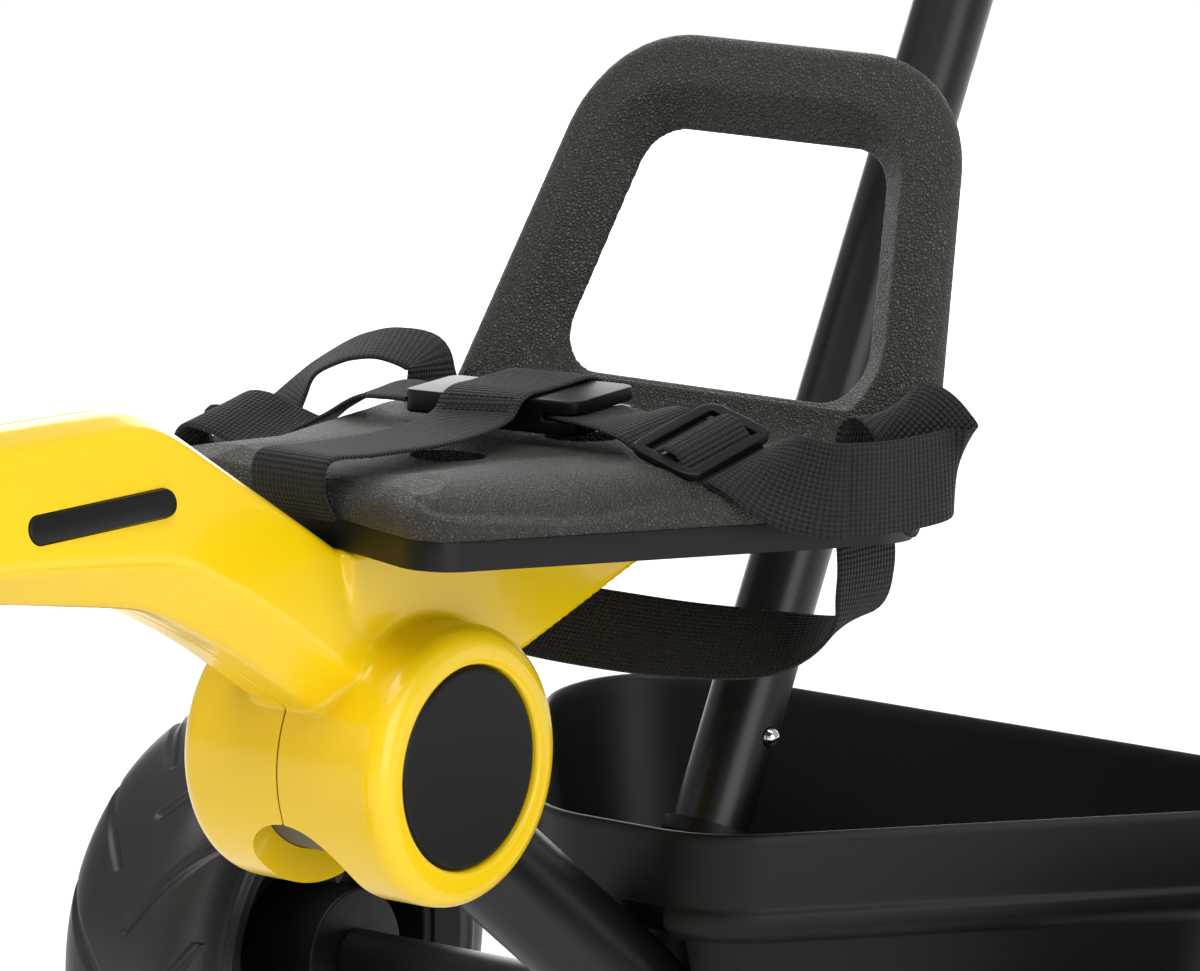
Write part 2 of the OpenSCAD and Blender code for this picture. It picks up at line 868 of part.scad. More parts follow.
module buckle_tongue() {
    color("black")
        at_hub()
            translate(buckle_at)
                rotate([0, 0, buckle_turn]) {
                    translate([-tongue_reach, 0, 0]) rounded_block(tongue_size, 4);
                    for (side = [-1, 1])
                        translate([-tongue_reach + tongue_size.x / 2 - 1, side * 11 - 2, -prong_height / 2])
                            cube([25, 4, prong_height]);
                    translate([-tongue_reach + tongue_size.x / 2 - 1, -2, -prong_height / 2]) cube([22, 4, prong_height]);
                }
}

module triglide() {
    window = (triglide_size.x - 3 * triglide_rail) / 2;
    color("dimgray")
        at_hub()
            translate(triglide_at)
                rotate([triglide_tilt, triglide_drop, triglide_turn])
                    difference() {
                        rounded_block(triglide_size, 6);
                        for (side = [-1, 1])
                            translate([side * (window + triglide_rail) / 2, 0, 0])
                                cube([window, webbing_width + 1, 10], center = true);
                    }
}

// Rear frame

// Stretches of the leg as plain bars, both running on past the mitre between them
module leg_first(r, from) {
    bar([0, from * cos(leg_angle), -from * sin(leg_angle)], leg_bend + mitre_over * first_dir, r);
}

module leg_second(r) {
    bar(leg_bend - mitre_over * tail_dir, leg_end, r);
}

// Half space on one side of the mitre plane
module mitre_side(side) {
    translate(leg_bend)
        rotate([-(leg_angle + tail_angle) / 2, 0, 0])
            translate([-100, side > 0 ? 0 : -300, -150])
                cube([200, 300, 300]);
}

module leg_tube() {
    color("black")
        at_hub()
            difference() {
                leg_first(leg_radius, 10);
                leg_first(leg_radius - tube_wall, 0);
                cross_bar(hub_length, sleeve_radius);
                mitre_side(1);
            }
}

module leg_tail() {
    color("black")
        at_hub()
            difference() {
                leg_second(leg_radius);
                bar(leg_bend - 30 * tail_dir, leg_end + 5 * tail_dir, leg_radius - tube_wall);
                translate(axle_at) cross_bar(60, axle_tube_radius + seat_gap);
                mitre_side(-1);
            }
}

module leg_plug() {
    color("black")
        at_hub() {
            bar(leg_end - plug_depth * tail_dir, leg_end + tail_dir, leg_radius - tube_wall - seat_gap);
            bar(leg_end, leg_end + plug_flange * tail_dir, leg_radius);
        }
}

module pivot_sleeve() {
    color("dimgray")
        at_hub()
            difference() {
                cross_bar(sleeve_half, sleeve_radius);
                cross_bar(hub_length, bolt_radius + running_gap);
            }
}

module axle_tube() {
    half = track / 2 - boss_half - side_gap;
    color("black")
        at_hub()
            translate(axle_at)
                difference() {
                    cross_bar(half, axle_tube_radius);
                    cross_bar(half + 1, axle_radius + seat_gap);
                }
}

module axle_rod() {
    color("silver")
        at_hub() translate(axle_at) cross_bar(track / 2 + boss_half + side_gap + nut_height, axle_radius);
}

module axle_nuts() {
    near = track / 2 + boss_half + side_gap;
    color("silver")
        at_hub()
            translate(axle_at)
                for (side = [-1, 1])
                    on_side(side)
                        difference() {
                            cross_span(near, near + nut_height, nut_radius);
                            cross_span(near - 1, near + nut_height + 1, axle_radius);
                        }
}

// Bucket

// Half of the bucket's plan from the nose to the rear wall
bucket_half = [
    [40, bucket_front, 46],
    [bucket_width / 2 - 4, bucket_front + bucket_length * 0.71, 60],
    [bucket_width / 2, bucket_front + bucket_length, 40]
];
bucket_plan = rounded([for (i = [0:5]) mirrored(bucket_half)[i]], 10);

function bucket_ring(z, inset) =
    let (kx = 1 - inset / (bucket_width / 2), ky = 1 - inset / (bucket_length / 2))
    [for (p = bucket_plan) [p.x * kx, bucket_mid + (p.y - bucket_mid) * ky, z]];

// Space over the leg: its upper line runs along the two stretches of the leg
module leg_cover(gap, half) {
    reach = leg_radius + gap;
    up_first = reach / cos(leg_angle);
    up_tail = reach / cos(tail_angle);
    far = leg_end + (plug_flange + gap) * tail_dir;
    translate([-half, 0, 0])
        rotate([90, 0, 90])
            linear_extrude(2 * half)
                polygon([
                    [60, -60 * tan(leg_angle) + up_first],
                    [leg_bend.y + reach * tan((leg_angle + tail_angle) / 2) * 0.6, leg_bend.z + up_tail * 1.02],
                    [far.y, far.z + up_tail],
                    [far.y, floor_z - 60],
                    [60, floor_z - 60]
                ]);
}

module bucket_outer() {
    loft([
        bucket_ring(floor_z, floor_inset),
        bucket_ring(band_z - bevel, lower_inset),
        bucket_ring(band_z - bevel + 0.5, bevel),
        bucket_ring(band_z, 0),
        bucket_ring(rim_z, 0)
    ]);
}

module bucket_inner() {
    loft([
        bucket_ring(floor_z + bucket_wall, floor_inset + bucket_wall),
        bucket_ring(band_z - bevel, lower_inset + bucket_wall),
        bucket_ring(band_z + bucket_wall, bucket_wall),
        bucket_ring(rim_z + 1, bucket_wall)
    ]);
}

module bucket() {
    color("black")
        at_hub()
            difference() {
                bucket_outer();
                difference() {
                    bucket_inner();
                    leg_cover(hump_gap + bucket_wall, leg_radius + hump_gap + bucket_wall);
                }
                leg_cover(hump_gap, leg_radius + hump_gap);
                bar(leg_bend, leg_bend + 150 * pole_dir, socket_radius + seat_gap);
                for (side = [-1, 1])
                    translate([side * bucket_screw_x, axle_back, floor_z - 5])
                        cylinder(h = 40, r = bucket_screw_radius + seat_gap);
            }
}

module bucket_screws() {
    color("silver")
        at_hub()
            for (side = [-1, 1])
                translate([side * bucket_screw_x, axle_back, floor_z]) {
                    translate([0, 0, bucket_wall]) cylinder(h = 3, r = 2 * bucket_screw_radius);
                    translate([0, 0, -0.2]) cylinder(h = bucket_wall + 1, r = bucket_screw_radius);
                }
}

// Pole

module pole_socket() {
    color("black")
        at_hub()
            difference() {
                union() {
                    bar(leg_bend, leg_bend + socket_top * pole_dir, socket_radius);
                    bar(
                        leg_bend + (socket_top - collar_height) * pole_dir,
                        leg_bend + socket_top * pole_dir,
                        collar_radius
                    );
                }
                leg_first(leg_radius, 10);
                leg_second(leg_radius);
                bar(leg_bend, leg_bend + 200 * pole_dir, stub_radius + seat_gap);
            }
}

module pole_stub() {
    color("black")
        at_hub()
            difference() {
                bar(leg_bend, leg_bend + stub_end * pole_dir, stub_radius);
                leg_first(leg_radius, 10);
                leg_second(leg_radius);
                bar(leg_bend, leg_bend + 300 * pole_dir, stub_radius - tube_wall);
                translate(leg_bend + button_at * pole_dir)
                    cross_span(0, 40, button_radius + running_gap);
            }
}

module pole_tube() {
    color("black")
        at_hub()
            difference() {
                bar(
                    leg_bend + (socket_top + seat_gap) * pole_dir,
                    leg_bend + (pole_length - handle_radius - 1) * pole_dir,
                    pole_radius
                );
                bar(leg_bend, leg_bend + (pole_length + 5) * pole_dir, pole_radius - tube_wall);
                translate(leg_bend + button_at * pole_dir) cross_span(0, 40, button_radius + 0.3);
            }
}

module pole_button() {
    flange_out = stub_radius - tube_wall - 1.6;
    color("silver")
        at_hub()
            translate(leg_bend + button_at * pole_dir) {
                cross_span(flange_out - 3, pole_radius + button_proud - button_radius, button_radius);
                translate([pole_radius + button_proud - button_radius, 0, 0]) sphere(r = button_radius);
                cross_span(flange_out - 3, flange_out, button_flange);
            }
}

module handle_joint() {
    color("black")
        at_hub()
            translate(handle_at)
                difference() {
                    union() {
                        cross_bar(handle_joint_length / 2, handle_joint_radius);
                        bar(-70 * pole_dir, 0 * pole_dir, pole_radius + 3);
                    }
                    cross_bar(handle_joint_length, handle_radius + seat_gap);
                    bar(-90 * pole_dir, -handle_radius * pole_dir, pole_radius + seat_gap);
                }
}

module handle_bar() {
    color("dimgray") at_hub() translate(handle_at) cross_bar(handle_length / 2 - 4, handle_radius);
}

module handle_grip(side) {
    near = handle_joint_length / 2 + 1;
    color("black")
        at_hub()
            translate(handle_at)
                on_side(side)
                    difference() {
                        cross_span(near, handle_length / 2, handle_grip_radius);
                        cross_span(near - 1, handle_length / 2 - 4 + seat_gap, handle_radius + seat_gap);
                    }
}
module handle_grip_left() { handle_grip(1); }
module handle_grip_right() { handle_grip(-1); }

// Wheels

// Ring with rounded shoulders, axis along X
module tyre_form(r, width, inner, round) {
    half = width / 2;
    rotate([0, 90, 0])
        rotate_extrude($fn = 96)
            polygon(concat(
                [[inner, -half + 6], [inner + 8, -half]],
                arc([r - round, -half + round], round, -90, 90, 6),
                arc([r - round, half - round], round, 0, 90, 6),
                [[inner + 8, half], [inner, half - 6]]
            ));
}

module wheel_tyre(side) {
    color("dimgray")
        at_hub()
            translate(axle_at)
                on_side(side)
                    translate([track / 2, 0, 0])
                        tyre_form(wheel_radius, tyre_width, rim_radius, tyre_round);
}

module wheel_rim(side) {
    color("black")
        at_hub()
            translate(axle_at)
                on_side(side)
                    translate([track / 2, 0, 0])
                        difference() {
                            union() {
                                difference() {
                                    cross_bar(tyre_width / 2 - 7, rim_radius - seat_gap);
                                    cross_bar(tyre_width, rim_radius - rim_lip);
                                }
                                cross_bar(web_plate / 2, rim_radius - 1);
                                cross_bar(boss_half, boss_radius);
                            }
                            cross_bar(track, axle_radius + running_gap);
                            for (turn = [0:60:300])
                                rotate([turn, 0, 0])
                                    translate([0, 0, (boss_radius + rim_radius) / 2]) cross_bar(track, 7);
                        }
}

module wheel_cap(side) {
    near = boss_half;
    color("gold")
        at_hub()
            translate(axle_at)
                on_side(side)
                    translate([track / 2, 0, 0])
                        difference() {
                            union() {
                                cross_span(near, near + wheel_cap_height - 3, boss_radius);
                                translate([near + wheel_cap_height - 3, 0, 0])
                                    rotate([0, 90, 0]) cylinder(h = 3, r1 = boss_radius, r2 = boss_radius - 5);
                            }
                            cross_span(near - 1, near + side_gap + nut_height + 1, nut_radius + 2);
                        }
}
module tyre_left() { wheel_tyre(1); }
module tyre_right() { wheel_tyre(-1); }
module rim_left() { wheel_rim(1); }
module rim_right() { wheel_rim(-1); }
module wheel_cap_left() { wheel_cap(1); }
module wheel_cap_right() { wheel_cap(-1); }

// Steering

// Point on the steering axis, measured up from the front axle
function on_steer(t) = front_axle + t * steer_dir;

module fork() {
    side_x = [fork_half, 0, 0];
    neck = axle_f_reach - head_half - bush_lip - side_gap;
    color("black")
        at_hub()
            difference() {
                union() {
                    for (side = [-1, 1]) {
                        bar(on_steer(0) + side * side_x, on_steer(crown_at) + side * side_x, fork_leg_radius);
                        translate(on_steer(crown_at) + side * side_x) sphere(r = crown_radius);
                        translate(front_axle + side * side_x) cross_bar(fork_eye_half, fork_eye_radius);
                    }
                    translate(on_steer(crown_at)) cross_bar(fork_half, crown_radius);
                    bar(on_steer(crown_at), on_steer(neck), head_tube_radius);
                    bar(on_steer(crown_at), on_steer(axle_f_reach + stem_length - bar_core - 1), steerer_radius);
                }
                translate(front_axle) cross_bar(fork_half * 2, crank_radius + running_gap);
            }
}

module mudguard() {
    half = front_tyre_width / 2 + 4;
    color("gold")
        at_hub()
            translate(front_axle)
                rotate([0, 90, 0])
                    rotate([0, 0, 180 - head_tilt - 70])
                        rotate_extrude(angle = 140, $fn = 96)
                            union() {
                                translate([guard_radius - guard_wall, -half]) square([guard_wall, 2 * half]);
                                for (side = [-1, 1])
                                    translate([guard_radius - 10, side * half - 1]) square([10, 2]);
                            }
}

module stem_clamp() {
    low = axle_f_reach + head_half + bush_lip + side_gap;
    color("black")
        at_hub()
            difference() {
                bar(on_steer(low), on_steer(low + clamp_height), steerer_radius + 6);
                bar(on_steer(low - 5), on_steer(low + 40), steerer_radius);
            }
}

bar_at = on_steer(axle_f_reach + stem_length);
bar_tip_x = bar_width / 2 - 4;
bar_tip = [bar_tip_x, 0, 0] + bar_sweep;

bar_dir = unit(bar_tip - [bar_mid, 0, 0]);

// Thicker middle with the two swept ends standing in its faces
module handlebar() {
    color("dimgray")
        at_hub()
            translate(bar_at) {
                cross_bar(bar_mid, bar_core);
                for (side = [-1, 1])
                    on_side(side) bar([bar_mid, 0, 0] - bar_root * bar_dir, bar_tip, bar_diameter / 2);
            }
}

module bar_clamp() {
    color("black")
        at_hub()
            difference() {
                union() {
                    translate(bar_at) cross_bar(22, bar_core + 6);
                    bar(
                        on_steer(axle_f_reach + stem_length - 50),
                        on_steer(axle_f_reach + stem_length),
                        steerer_radius + 5
                    );
                }
                translate(bar_at) cross_bar(60, bar_core + seat_gap);
                bar(
                    on_steer(axle_f_reach + stem_length - 60),
                    on_steer(axle_f_reach + stem_length - bar_core),
                    steerer_radius + seat_gap
                );
            }
}

module grip(side) {
    dir = bar_dir;
    color("black")
        at_hub()
            translate(bar_at)
                on_side(side)
                    difference() {
                        union() {
                            bar(bar_tip - (grip_length - 4) * dir, bar_tip + 4 * dir, grip_diameter / 2);
                            bar(bar_tip - grip_length * dir, bar_tip - (grip_length - 5) * dir, grip_diameter / 2 + 6);
                        }
                        bar(bar_tip - (grip_length + 12) * dir, bar_tip + seat_gap * dir, bar_diameter / 2 + seat_gap);
                    }
}
module grip_left() { grip(1); }
module grip_right() { grip(-1); }

module tyre_front() {
    color("dimgray")
        at_hub()
            translate(front_axle)
                tyre_form(front_radius, front_tyre_width, front_rim_radius, 10);
}

module rim_front() {
    rim = front_rim_radius;
    half = front_tyre_width / 2;
    color("gold")
        at_hub()
            translate(front_axle)
                difference() {
                    union() {
                        difference() {
                            cross_bar(half - 7, rim - seat_gap);
                            cross_bar(half, rim - rim_lip);
                        }
                        cross_bar(web_plate / 2, rim - 1);
                        cross_bar(fork_half - max(fork_eye_half, fork_leg_radius) - side_gap, 20);
                    }
                    cross_bar(track, crank_radius + seat_gap);
                }
}

module crank_axle() {
    color("silver") at_hub() translate(front_axle) cross_bar(crank_x + crank_plate, crank_radius);
}

// Crank arm with its pedal pin; the two sides stand opposite
module crank(side) {
    tip = [0, 0, -side * crank_length];
    color("silver")
        at_hub()
            translate(front_axle)
                on_side(side) {
                    difference() {
                        union() {
                            cross_span(crank_x, crank_x + crank_plate, crank_arm_radius + 3);
                            translate(tip) cross_span(crank_x, crank_x + crank_plate, crank_arm_radius);
                            translate([crank_x, -crank_arm_radius, min(0, tip.z)])
                                cube([crank_plate, 2 * crank_arm_radius, crank_length]);
                        }
                        cross_span(crank_x - 1, crank_x + crank_plate + 1, crank_radius);
                    }
                    translate(tip)
                        cross_span(crank_x + crank_plate - 1, crank_x + crank_plate + pedal_length - 4, pedal_pin_radius);
                }
}
module crank_left() { crank(1); }
module crank_right() { crank(-1); }

module pedal(side) {
    near = crank_x + crank_plate + side_gap;
    color("black")
        at_hub()
            translate(front_axle)
                on_side(side)
                    translate([0, 0, -side * crank_length])
                        difference() {
                            union() {
                                translate([near, -pedal_width / 2, -pedal_height / 2])
                                    cube([pedal_length, pedal_width, pedal_height]);
                            }
                            cross_span(near - 1, near + pedal_length - 3, pedal_pin_radius + running_gap);
                        }
}
module pedal_left() { pedal(1); }
module pedal_right() { pedal(-1); }

shell_left();
shell_right();
trim_left();
trim_right();
shell_screws();
pivot_bolt();
head_tube();
bush_upper();
bush_lower();
hub_button_left();
hub_button_right();
seat_shell();
seat_pan();
seat_screws();
strap_lap_left();
strap_lap_right();
strap_crotch();
strap_under();
buckle_housing();
buckle_tongue();
triglide();
leg_tube();
leg_tail();
leg_plug();
pivot_sleeve();
axle_tube();
axle_rod();
axle_nuts();
bucket();
bucket_screws();
pole_socket();
pole_stub();
pole_tube();
pole_button();
handle_joint();
handle_bar();
handle_grip_left();
handle_grip_right();
tyre_left();
rim_left();
wheel_cap_left();
tyre_right();
rim_right();
wheel_cap_right();
fork();
mudguard();
stem_clamp();
handlebar();
bar_clamp();
grip_left();
grip_right();
tyre_front();
rim_front();
crank_axle();
crank_left();
crank_right();
pedal_left();
pedal_right();
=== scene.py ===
import json
from math import acos, atan, atan2, cos, pi, radians, sin, tan
import bmesh
import bpy
import numpy as np
from mathutils import Matrix, Vector


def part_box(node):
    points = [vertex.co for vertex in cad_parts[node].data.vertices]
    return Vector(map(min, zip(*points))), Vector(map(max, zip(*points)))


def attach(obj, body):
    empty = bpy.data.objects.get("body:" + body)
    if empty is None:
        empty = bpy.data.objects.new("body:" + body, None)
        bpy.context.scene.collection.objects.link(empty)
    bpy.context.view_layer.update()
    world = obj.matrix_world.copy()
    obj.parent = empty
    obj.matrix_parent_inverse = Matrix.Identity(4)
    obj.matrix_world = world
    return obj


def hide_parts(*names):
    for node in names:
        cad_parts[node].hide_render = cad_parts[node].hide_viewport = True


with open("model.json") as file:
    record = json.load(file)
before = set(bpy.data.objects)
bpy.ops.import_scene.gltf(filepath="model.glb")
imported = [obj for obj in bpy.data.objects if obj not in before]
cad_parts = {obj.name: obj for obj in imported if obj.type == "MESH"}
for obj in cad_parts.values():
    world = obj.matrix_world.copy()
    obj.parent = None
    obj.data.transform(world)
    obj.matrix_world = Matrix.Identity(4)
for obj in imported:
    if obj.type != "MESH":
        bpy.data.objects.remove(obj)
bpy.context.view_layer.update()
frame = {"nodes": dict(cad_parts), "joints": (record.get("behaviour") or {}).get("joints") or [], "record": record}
nodes = frame["nodes"]
joints = {joint["name"]: joint for joint in frame["joints"]}
mm = 0.001
hub = Vector(joints["rear_fold"]["pos_m"])
scene = bpy.context.scene
print("frame loaded,", len(nodes), "solids")


# sizes that the drawing gives, in millimetres from the middle of the hub
layout = {
    "trackHalf": 245, "axleBack": 233, "axleDrop": 148,
    "seatTilt": 4.6, "seatHeight": 73.1, "panHeight": 10, "slotBack": 148,
    "backAt": 154, "backLean": 24,
    "legAngle": 37.9, "legRun": 197, "poleSlope": 0.5,
    "headTilt": 18, "headAt": (0.0, -290.0, 110.0),
}
sides = ((1, "Left"), (-1, "Right"))


def leaning(angle):
    return np.array([0, sin(angle), cos(angle)])


def lying(angle):
    return np.array([0, cos(angle), -sin(angle)])


headAt = np.array(layout["headAt"])
frontAxle = (np.array(joints["front_spin"]["pos_m"]) - np.array(hub)) / mm
legAngle = radians(layout["legAngle"])
legBend = layout["legRun"] * lying(legAngle)
poleDir = leaning(atan(layout["poleSlope"]))
steerDir = leaning(radians(layout["headTilt"]))
seatAhead = lying(radians(layout["seatTilt"]))
seatSky = leaning(radians(layout["seatTilt"]))
backUp = leaning(radians(layout["backLean"]))
backAway = lying(radians(layout["backLean"]))


# shader values: arithmetic on a wire adds Math nodes
def mathsOn(operation, turned=False):
    def applied(self, other=None):
        node = self.tree.nodes.new("ShaderNodeMath")
        node.operation = operation
        for slot, value in enumerate((other, self) if turned else (self, other)):
            if isinstance(value, Wire):
                self.tree.links.new(value.socket, node.inputs[slot])
            elif value is not None:
                node.inputs[slot].default_value = value
        return Wire(self.tree, node.outputs[0])
    return applied


class Wire:
    def __init__(self, tree, socket):
        self.tree = tree
        self.socket = socket

    __add__, __radd__ = mathsOn("ADD"), mathsOn("ADD", True)
    __sub__, __rsub__ = mathsOn("SUBTRACT"), mathsOn("SUBTRACT", True)
    __mul__, __rmul__ = mathsOn("MULTIPLY"), mathsOn("MULTIPLY", True)
    __abs__, sine = mathsOn("ABSOLUTE"), mathsOn("SINE")


class Finish:
    def __init__(self, name, **fixed):
        self.material = bpy.data.materials.new(name)
        self.material.use_nodes = True
        self.tree = self.material.node_tree
        self.shader = self.tree.nodes["Principled BSDF"]
        for socket, value in fixed.items():
            self.shader.inputs[socket.replace("_", " ")].default_value = value
        self.place = self.node("ShaderNodeTexCoord", out="Object")

    def node(self, kind, settings=None, sockets=None, out=0):
        made = self.tree.nodes.new(kind)
        for key, value in (settings or {}).items():
            if key == "stops":
                ramp = made.color_ramp.elements
                while len(ramp) < len(value):
                    ramp.new(0.5)
                for stop, (position, colour) in zip(ramp, value):
                    stop.position = position
                    stop.color = colour
            else:
                setattr(made, key, value)
        for key, value in (sockets or {}).items():
            if isinstance(value, Wire):
                self.tree.links.new(value.socket, made.inputs[key])
            else:
                made.inputs[key].default_value = value
        return Wire(self.tree, made.outputs[out])

    def noise(self, scale, detail=3.0, at=None):
        sockets = {"Vector": at or self.place, "Scale": scale, "Detail": detail}
        return self.node("ShaderNodeTexNoise", None, sockets)

    def mix(self, share, low, high):
        return self.node("ShaderNodeMix", {"data_type": "RGBA"}, {0: share, 6: low, 7: high}, 2)

    def bump(self, height, strength, distance):
        sockets = {"Height": height, "Strength": strength, "Distance": distance}
        return self.node("ShaderNodeBump", None, sockets)

    def feed(self, colour, roughness, normal=None):
        for socket, wire in (("Base Color", colour), ("Roughness", roughness), ("Normal", normal)):
            if wire:
                self.tree.links.new(wire.socket, self.shader.inputs[socket])
        return self.material


def grey(value):
    return (value, value, value * 1.02, 1.0)


def mouldedYellow():
    finish = Finish("mouldedYellow", Coat_Weight=0.25, Coat_Roughness=0.06, Specular_IOR_Level=0.4)
    cloud = finish.noise(4.0, 2.0)
    haze = finish.noise(30.0, 3.0)
    peel = finish.noise(220.0, 1.0)
    colour = finish.mix(cloud, (0.87, 0.58, 0.003, 1), (0.89, 0.605, 0.004, 1))
    return finish.feed(colour, 0.20 + haze * 0.06, finish.bump(peel, 0.015, 0.0002))


def plainBlack(name, low, high, rough, spread, grain, depth, shine=0.4):
    finish = Finish(name, Specular_IOR_Level=shine)
    cloud = finish.noise(24.0, 4.0)
    fine = finish.noise(grain, 2.0)
    colour = finish.mix(cloud, grey(low), grey(high))
    return finish.feed(colour, rough + cloud * spread, finish.bump(fine, depth, 0.0002))


def leatherGrain():
    finish = Finish("leatherGrain", Specular_IOR_Level=0.55)
    warp = finish.noise(420.0, 2.0)
    swirl = finish.node(
        "ShaderNodeVectorMath", {"operation": "MULTIPLY_ADD"},
        {0: warp, 1: (0.0011, 0.0011, 0.0011), 2: finish.place})
    cells = finish.node(
        "ShaderNodeTexVoronoi", {"feature": "DISTANCE_TO_EDGE"},
        {"Vector": swirl, "Scale": 760.0})
    creases = finish.node(
        "ShaderNodeValToRGB", {"stops": [(0.0, (0, 0, 0, 1)), (0.34, (1, 1, 1, 1))]}, {"Fac": cells})
    cloud = finish.noise(35.0, 4.0)
    fine = finish.noise(1800.0, 2.0)
    # painted shade: the colour is darker along the grain's crease lines and lighter on the pebble tops
    colour = finish.mix(creases, (0.014, 0.014, 0.010, 1), (0.052, 0.051, 0.040, 1))
    roughness = 0.56 - creases * 0.12 + cloud * 0.06
    height = creases * 0.8 + fine * 0.2
    normal = finish.bump(height, 1.0, 0.0010)
    return finish.feed(colour, roughness, normal)


def ribbedWebbing():
    finish = Finish("ribbedWebbing", Sheen_Weight=0.06, Sheen_Roughness=0.4, IOR=1.4)
    weave = finish.node("ShaderNodeUVMap", {"uv_map": "weave"})
    run = finish.node("ShaderNodeSeparateXYZ", None, {0: weave}, "X")
    across = finish.node("ShaderNodeSeparateXYZ", None, {0: weave}, "Y")
    pickGap, columnGap = 1.9, 1.7                     # millimetres along and across the strap
    ribs = abs((run * (pi / pickGap)).sine())
    cords = abs((across * (pi / columnGap)).sine())
    fuzz = finish.noise(2600.0, 2.0)
    relief = ribs * 0.6 + cords * 0.4
    # painted shade and painted highlight: the colour is darker in the valleys between ribs and cords and lighter
    # on their raised tops
    colour = finish.mix(relief, grey(0.001), grey(0.010))
    roughness = 0.86 - relief * 0.2
    normal = finish.bump(relief + fuzz * 0.12, 1.0, 0.0011)
    return finish.feed(colour, roughness, normal)


def metal(name, low, high, rough, streak):
    finish = Finish(name, Metallic=1.0)
    drawn = finish.node("ShaderNodeMapping", None, {"Vector": finish.place, "Scale": (1.0, 1.0, streak)})
    lines = finish.noise(240.0, 4.0, drawn)
    colour = finish.mix(lines, grey(low), grey(high))
    return finish.feed(colour, rough + lines * 0.14, finish.bump(lines, 0.06, 0.0002))


def tyreSkin():
    finish = Finish("tyreSkin", Specular_IOR_Level=0.45)
    cloud = finish.noise(18.0, 5.0)
    pores = finish.noise(1300.0, 3.0)
    colour = finish.mix(cloud, grey(0.010), grey(0.017))
    return finish.feed(colour, 0.36 + cloud * 0.12, finish.bump(pores, 0.12, 0.0003))


def floorPaint():
    finish = Finish("floorPaint", Specular_IOR_Level=0.1)
    cloud = finish.noise(2.0, 2.0)
    colour = finish.mix(cloud, (0.90, 0.90, 0.90, 1), (0.93, 0.93, 0.93, 1))
    return finish.feed(colour, 0.75 + cloud * 0.1)


finishes = {
    "yellow_shell": mouldedYellow(),
    "black_gloss": plainBlack("glossBlack", 0.003, 0.005, 0.30, 0.10, 900.0, 0.04, 0.28),
    "black_plastic": plainBlack("satinBlack", 0.003, 0.006, 0.40, 0.10, 1500.0, 0.10, 0.25),
    "grained_seat": leatherGrain(),
    "webbing": ribbedWebbing(),
    "black_steel": plainBlack("paintedTube", 0.003, 0.006, 0.28, 0.10, 1100.0, 0.07, 0.4),
    "zinc_steel": metal("zincPlate", 0.50, 0.72, 0.24, 0.3),
    "bright_steel": metal("brightPlate", 0.72, 0.86, 0.08, 0.6),
    "grey_bush": plainBlack("greyNylon", 0.075, 0.11, 0.42, 0.12, 1500.0, 0.08),
    "buckle": plainBlack("buckleBlack", 0.003, 0.005, 0.28, 0.06, 1200.0, 0.05, 0.22),
    "housing": plainBlack("housingBlack", 0.003, 0.005, 0.30, 0.08, 1200.0, 0.06, 0.10),
    "tyre": tyreSkin(),
    "soft_grip": plainBlack("softGrip", 0.014, 0.022, 0.58, 0.14, 2100.0, 0.35),
}
finishes["yellow_plastic"] = finishes["yellow_shell"]
slotOf = {part["node"]: part["material_slot"] for part in frame["record"]["subparts"]}
for nodeName, node in nodes.items():
    for slot in node.material_slots:
        slot.material = finishes[slotOf[nodeName]]
print("finishes mixed,", len(finishes))


# mesh making, in millimetres from the hub
def seatPoint(x, y, z):
    t = radians(layout["seatTilt"])
    up = layout["seatHeight"] - y * sin(t) + z * cos(t)
    return np.array([x, y * cos(t) + z * sin(t), up])


def unit(v):
    v = np.asarray(v, float)
    return v / np.linalg.norm(v)


def rounded(points, steps=8):
    made = []
    count = len(points)
    for i, (x, y, r) in enumerate(points):
        c = np.array([x, y], float)
        u = unit(np.array(points[i - 1][:2]) - c)
        v = unit(np.array(points[(i + 1) % count][:2]) - c)
        half = acos(max(-1.0, min(1.0, float(u @ v)))) / 2
        m = c + unit(u + v) * r / sin(half)
        s = c + u * r / tan(half) - m
        e = c + v * r / tan(half) - m
        a = atan2(s[1], s[0])
        d = (atan2(e[1], e[0]) - a + pi) % (2 * pi) - pi
        for k in range(steps + 1):
            t = a + d * k / steps
            made.append(m + r * np.array([cos(t), sin(t)]))
    return np.array(made)


def oblong(wide, deep):
    return [(-wide / 2, -deep / 2), (wide / 2, -deep / 2), (wide / 2, deep / 2), (-wide / 2, deep / 2)]


def mirrored(points):
    return points + [(-x, y, r) for x, y, r in reversed(points)]


def inset(outline, by):
    before, after = np.roll(outline, 1, 0), np.roll(outline, -1, 0)
    along = after - before
    length = np.linalg.norm(along, axis=1, keepdims=True)
    normal = np.stack([-along[:, 1], along[:, 0]], 1) / np.maximum(length, 1e-9)
    area = np.sum(outline[:, 0] * after[:, 1] - after[:, 0] * outline[:, 1])
    return outline + normal * by * (1 if area > 0 else -1)


def loft(rings, caps=True, loop=False):
    rings = [np.asarray(ring, float) for ring in rings]
    n, m = len(rings[0]), len(rings)
    faces = []
    for i in range(m if loop else m - 1):
        low, high = i * n, (i + 1) % m * n
        faces += [(low + j, low + (j + 1) % n, high + (j + 1) % n, high + j) for j in range(n)]
    if caps and not loop:
        faces.append(tuple(range(n))[::-1])
        faces.append(tuple((m - 1) * n + j for j in range(n)))
    return np.concatenate(rings), faces


def lathe(profile, centre, axis=(1, 0, 0), steps=96, caps=False):
    axis = unit(axis)
    side = unit(np.cross(axis, (0, 0, 1) if abs(axis[2]) < 0.9 else (0, 1, 0)))
    other = np.cross(axis, side)
    turn = np.linspace(0, 2 * pi, steps, endpoint=False)
    rings = [
        np.array(centre) + a * axis + r * (np.outer(np.cos(turn), side) + np.outer(np.sin(turn), other))
        for a, r in profile]
    return loft(rings, caps=caps, loop=not caps)


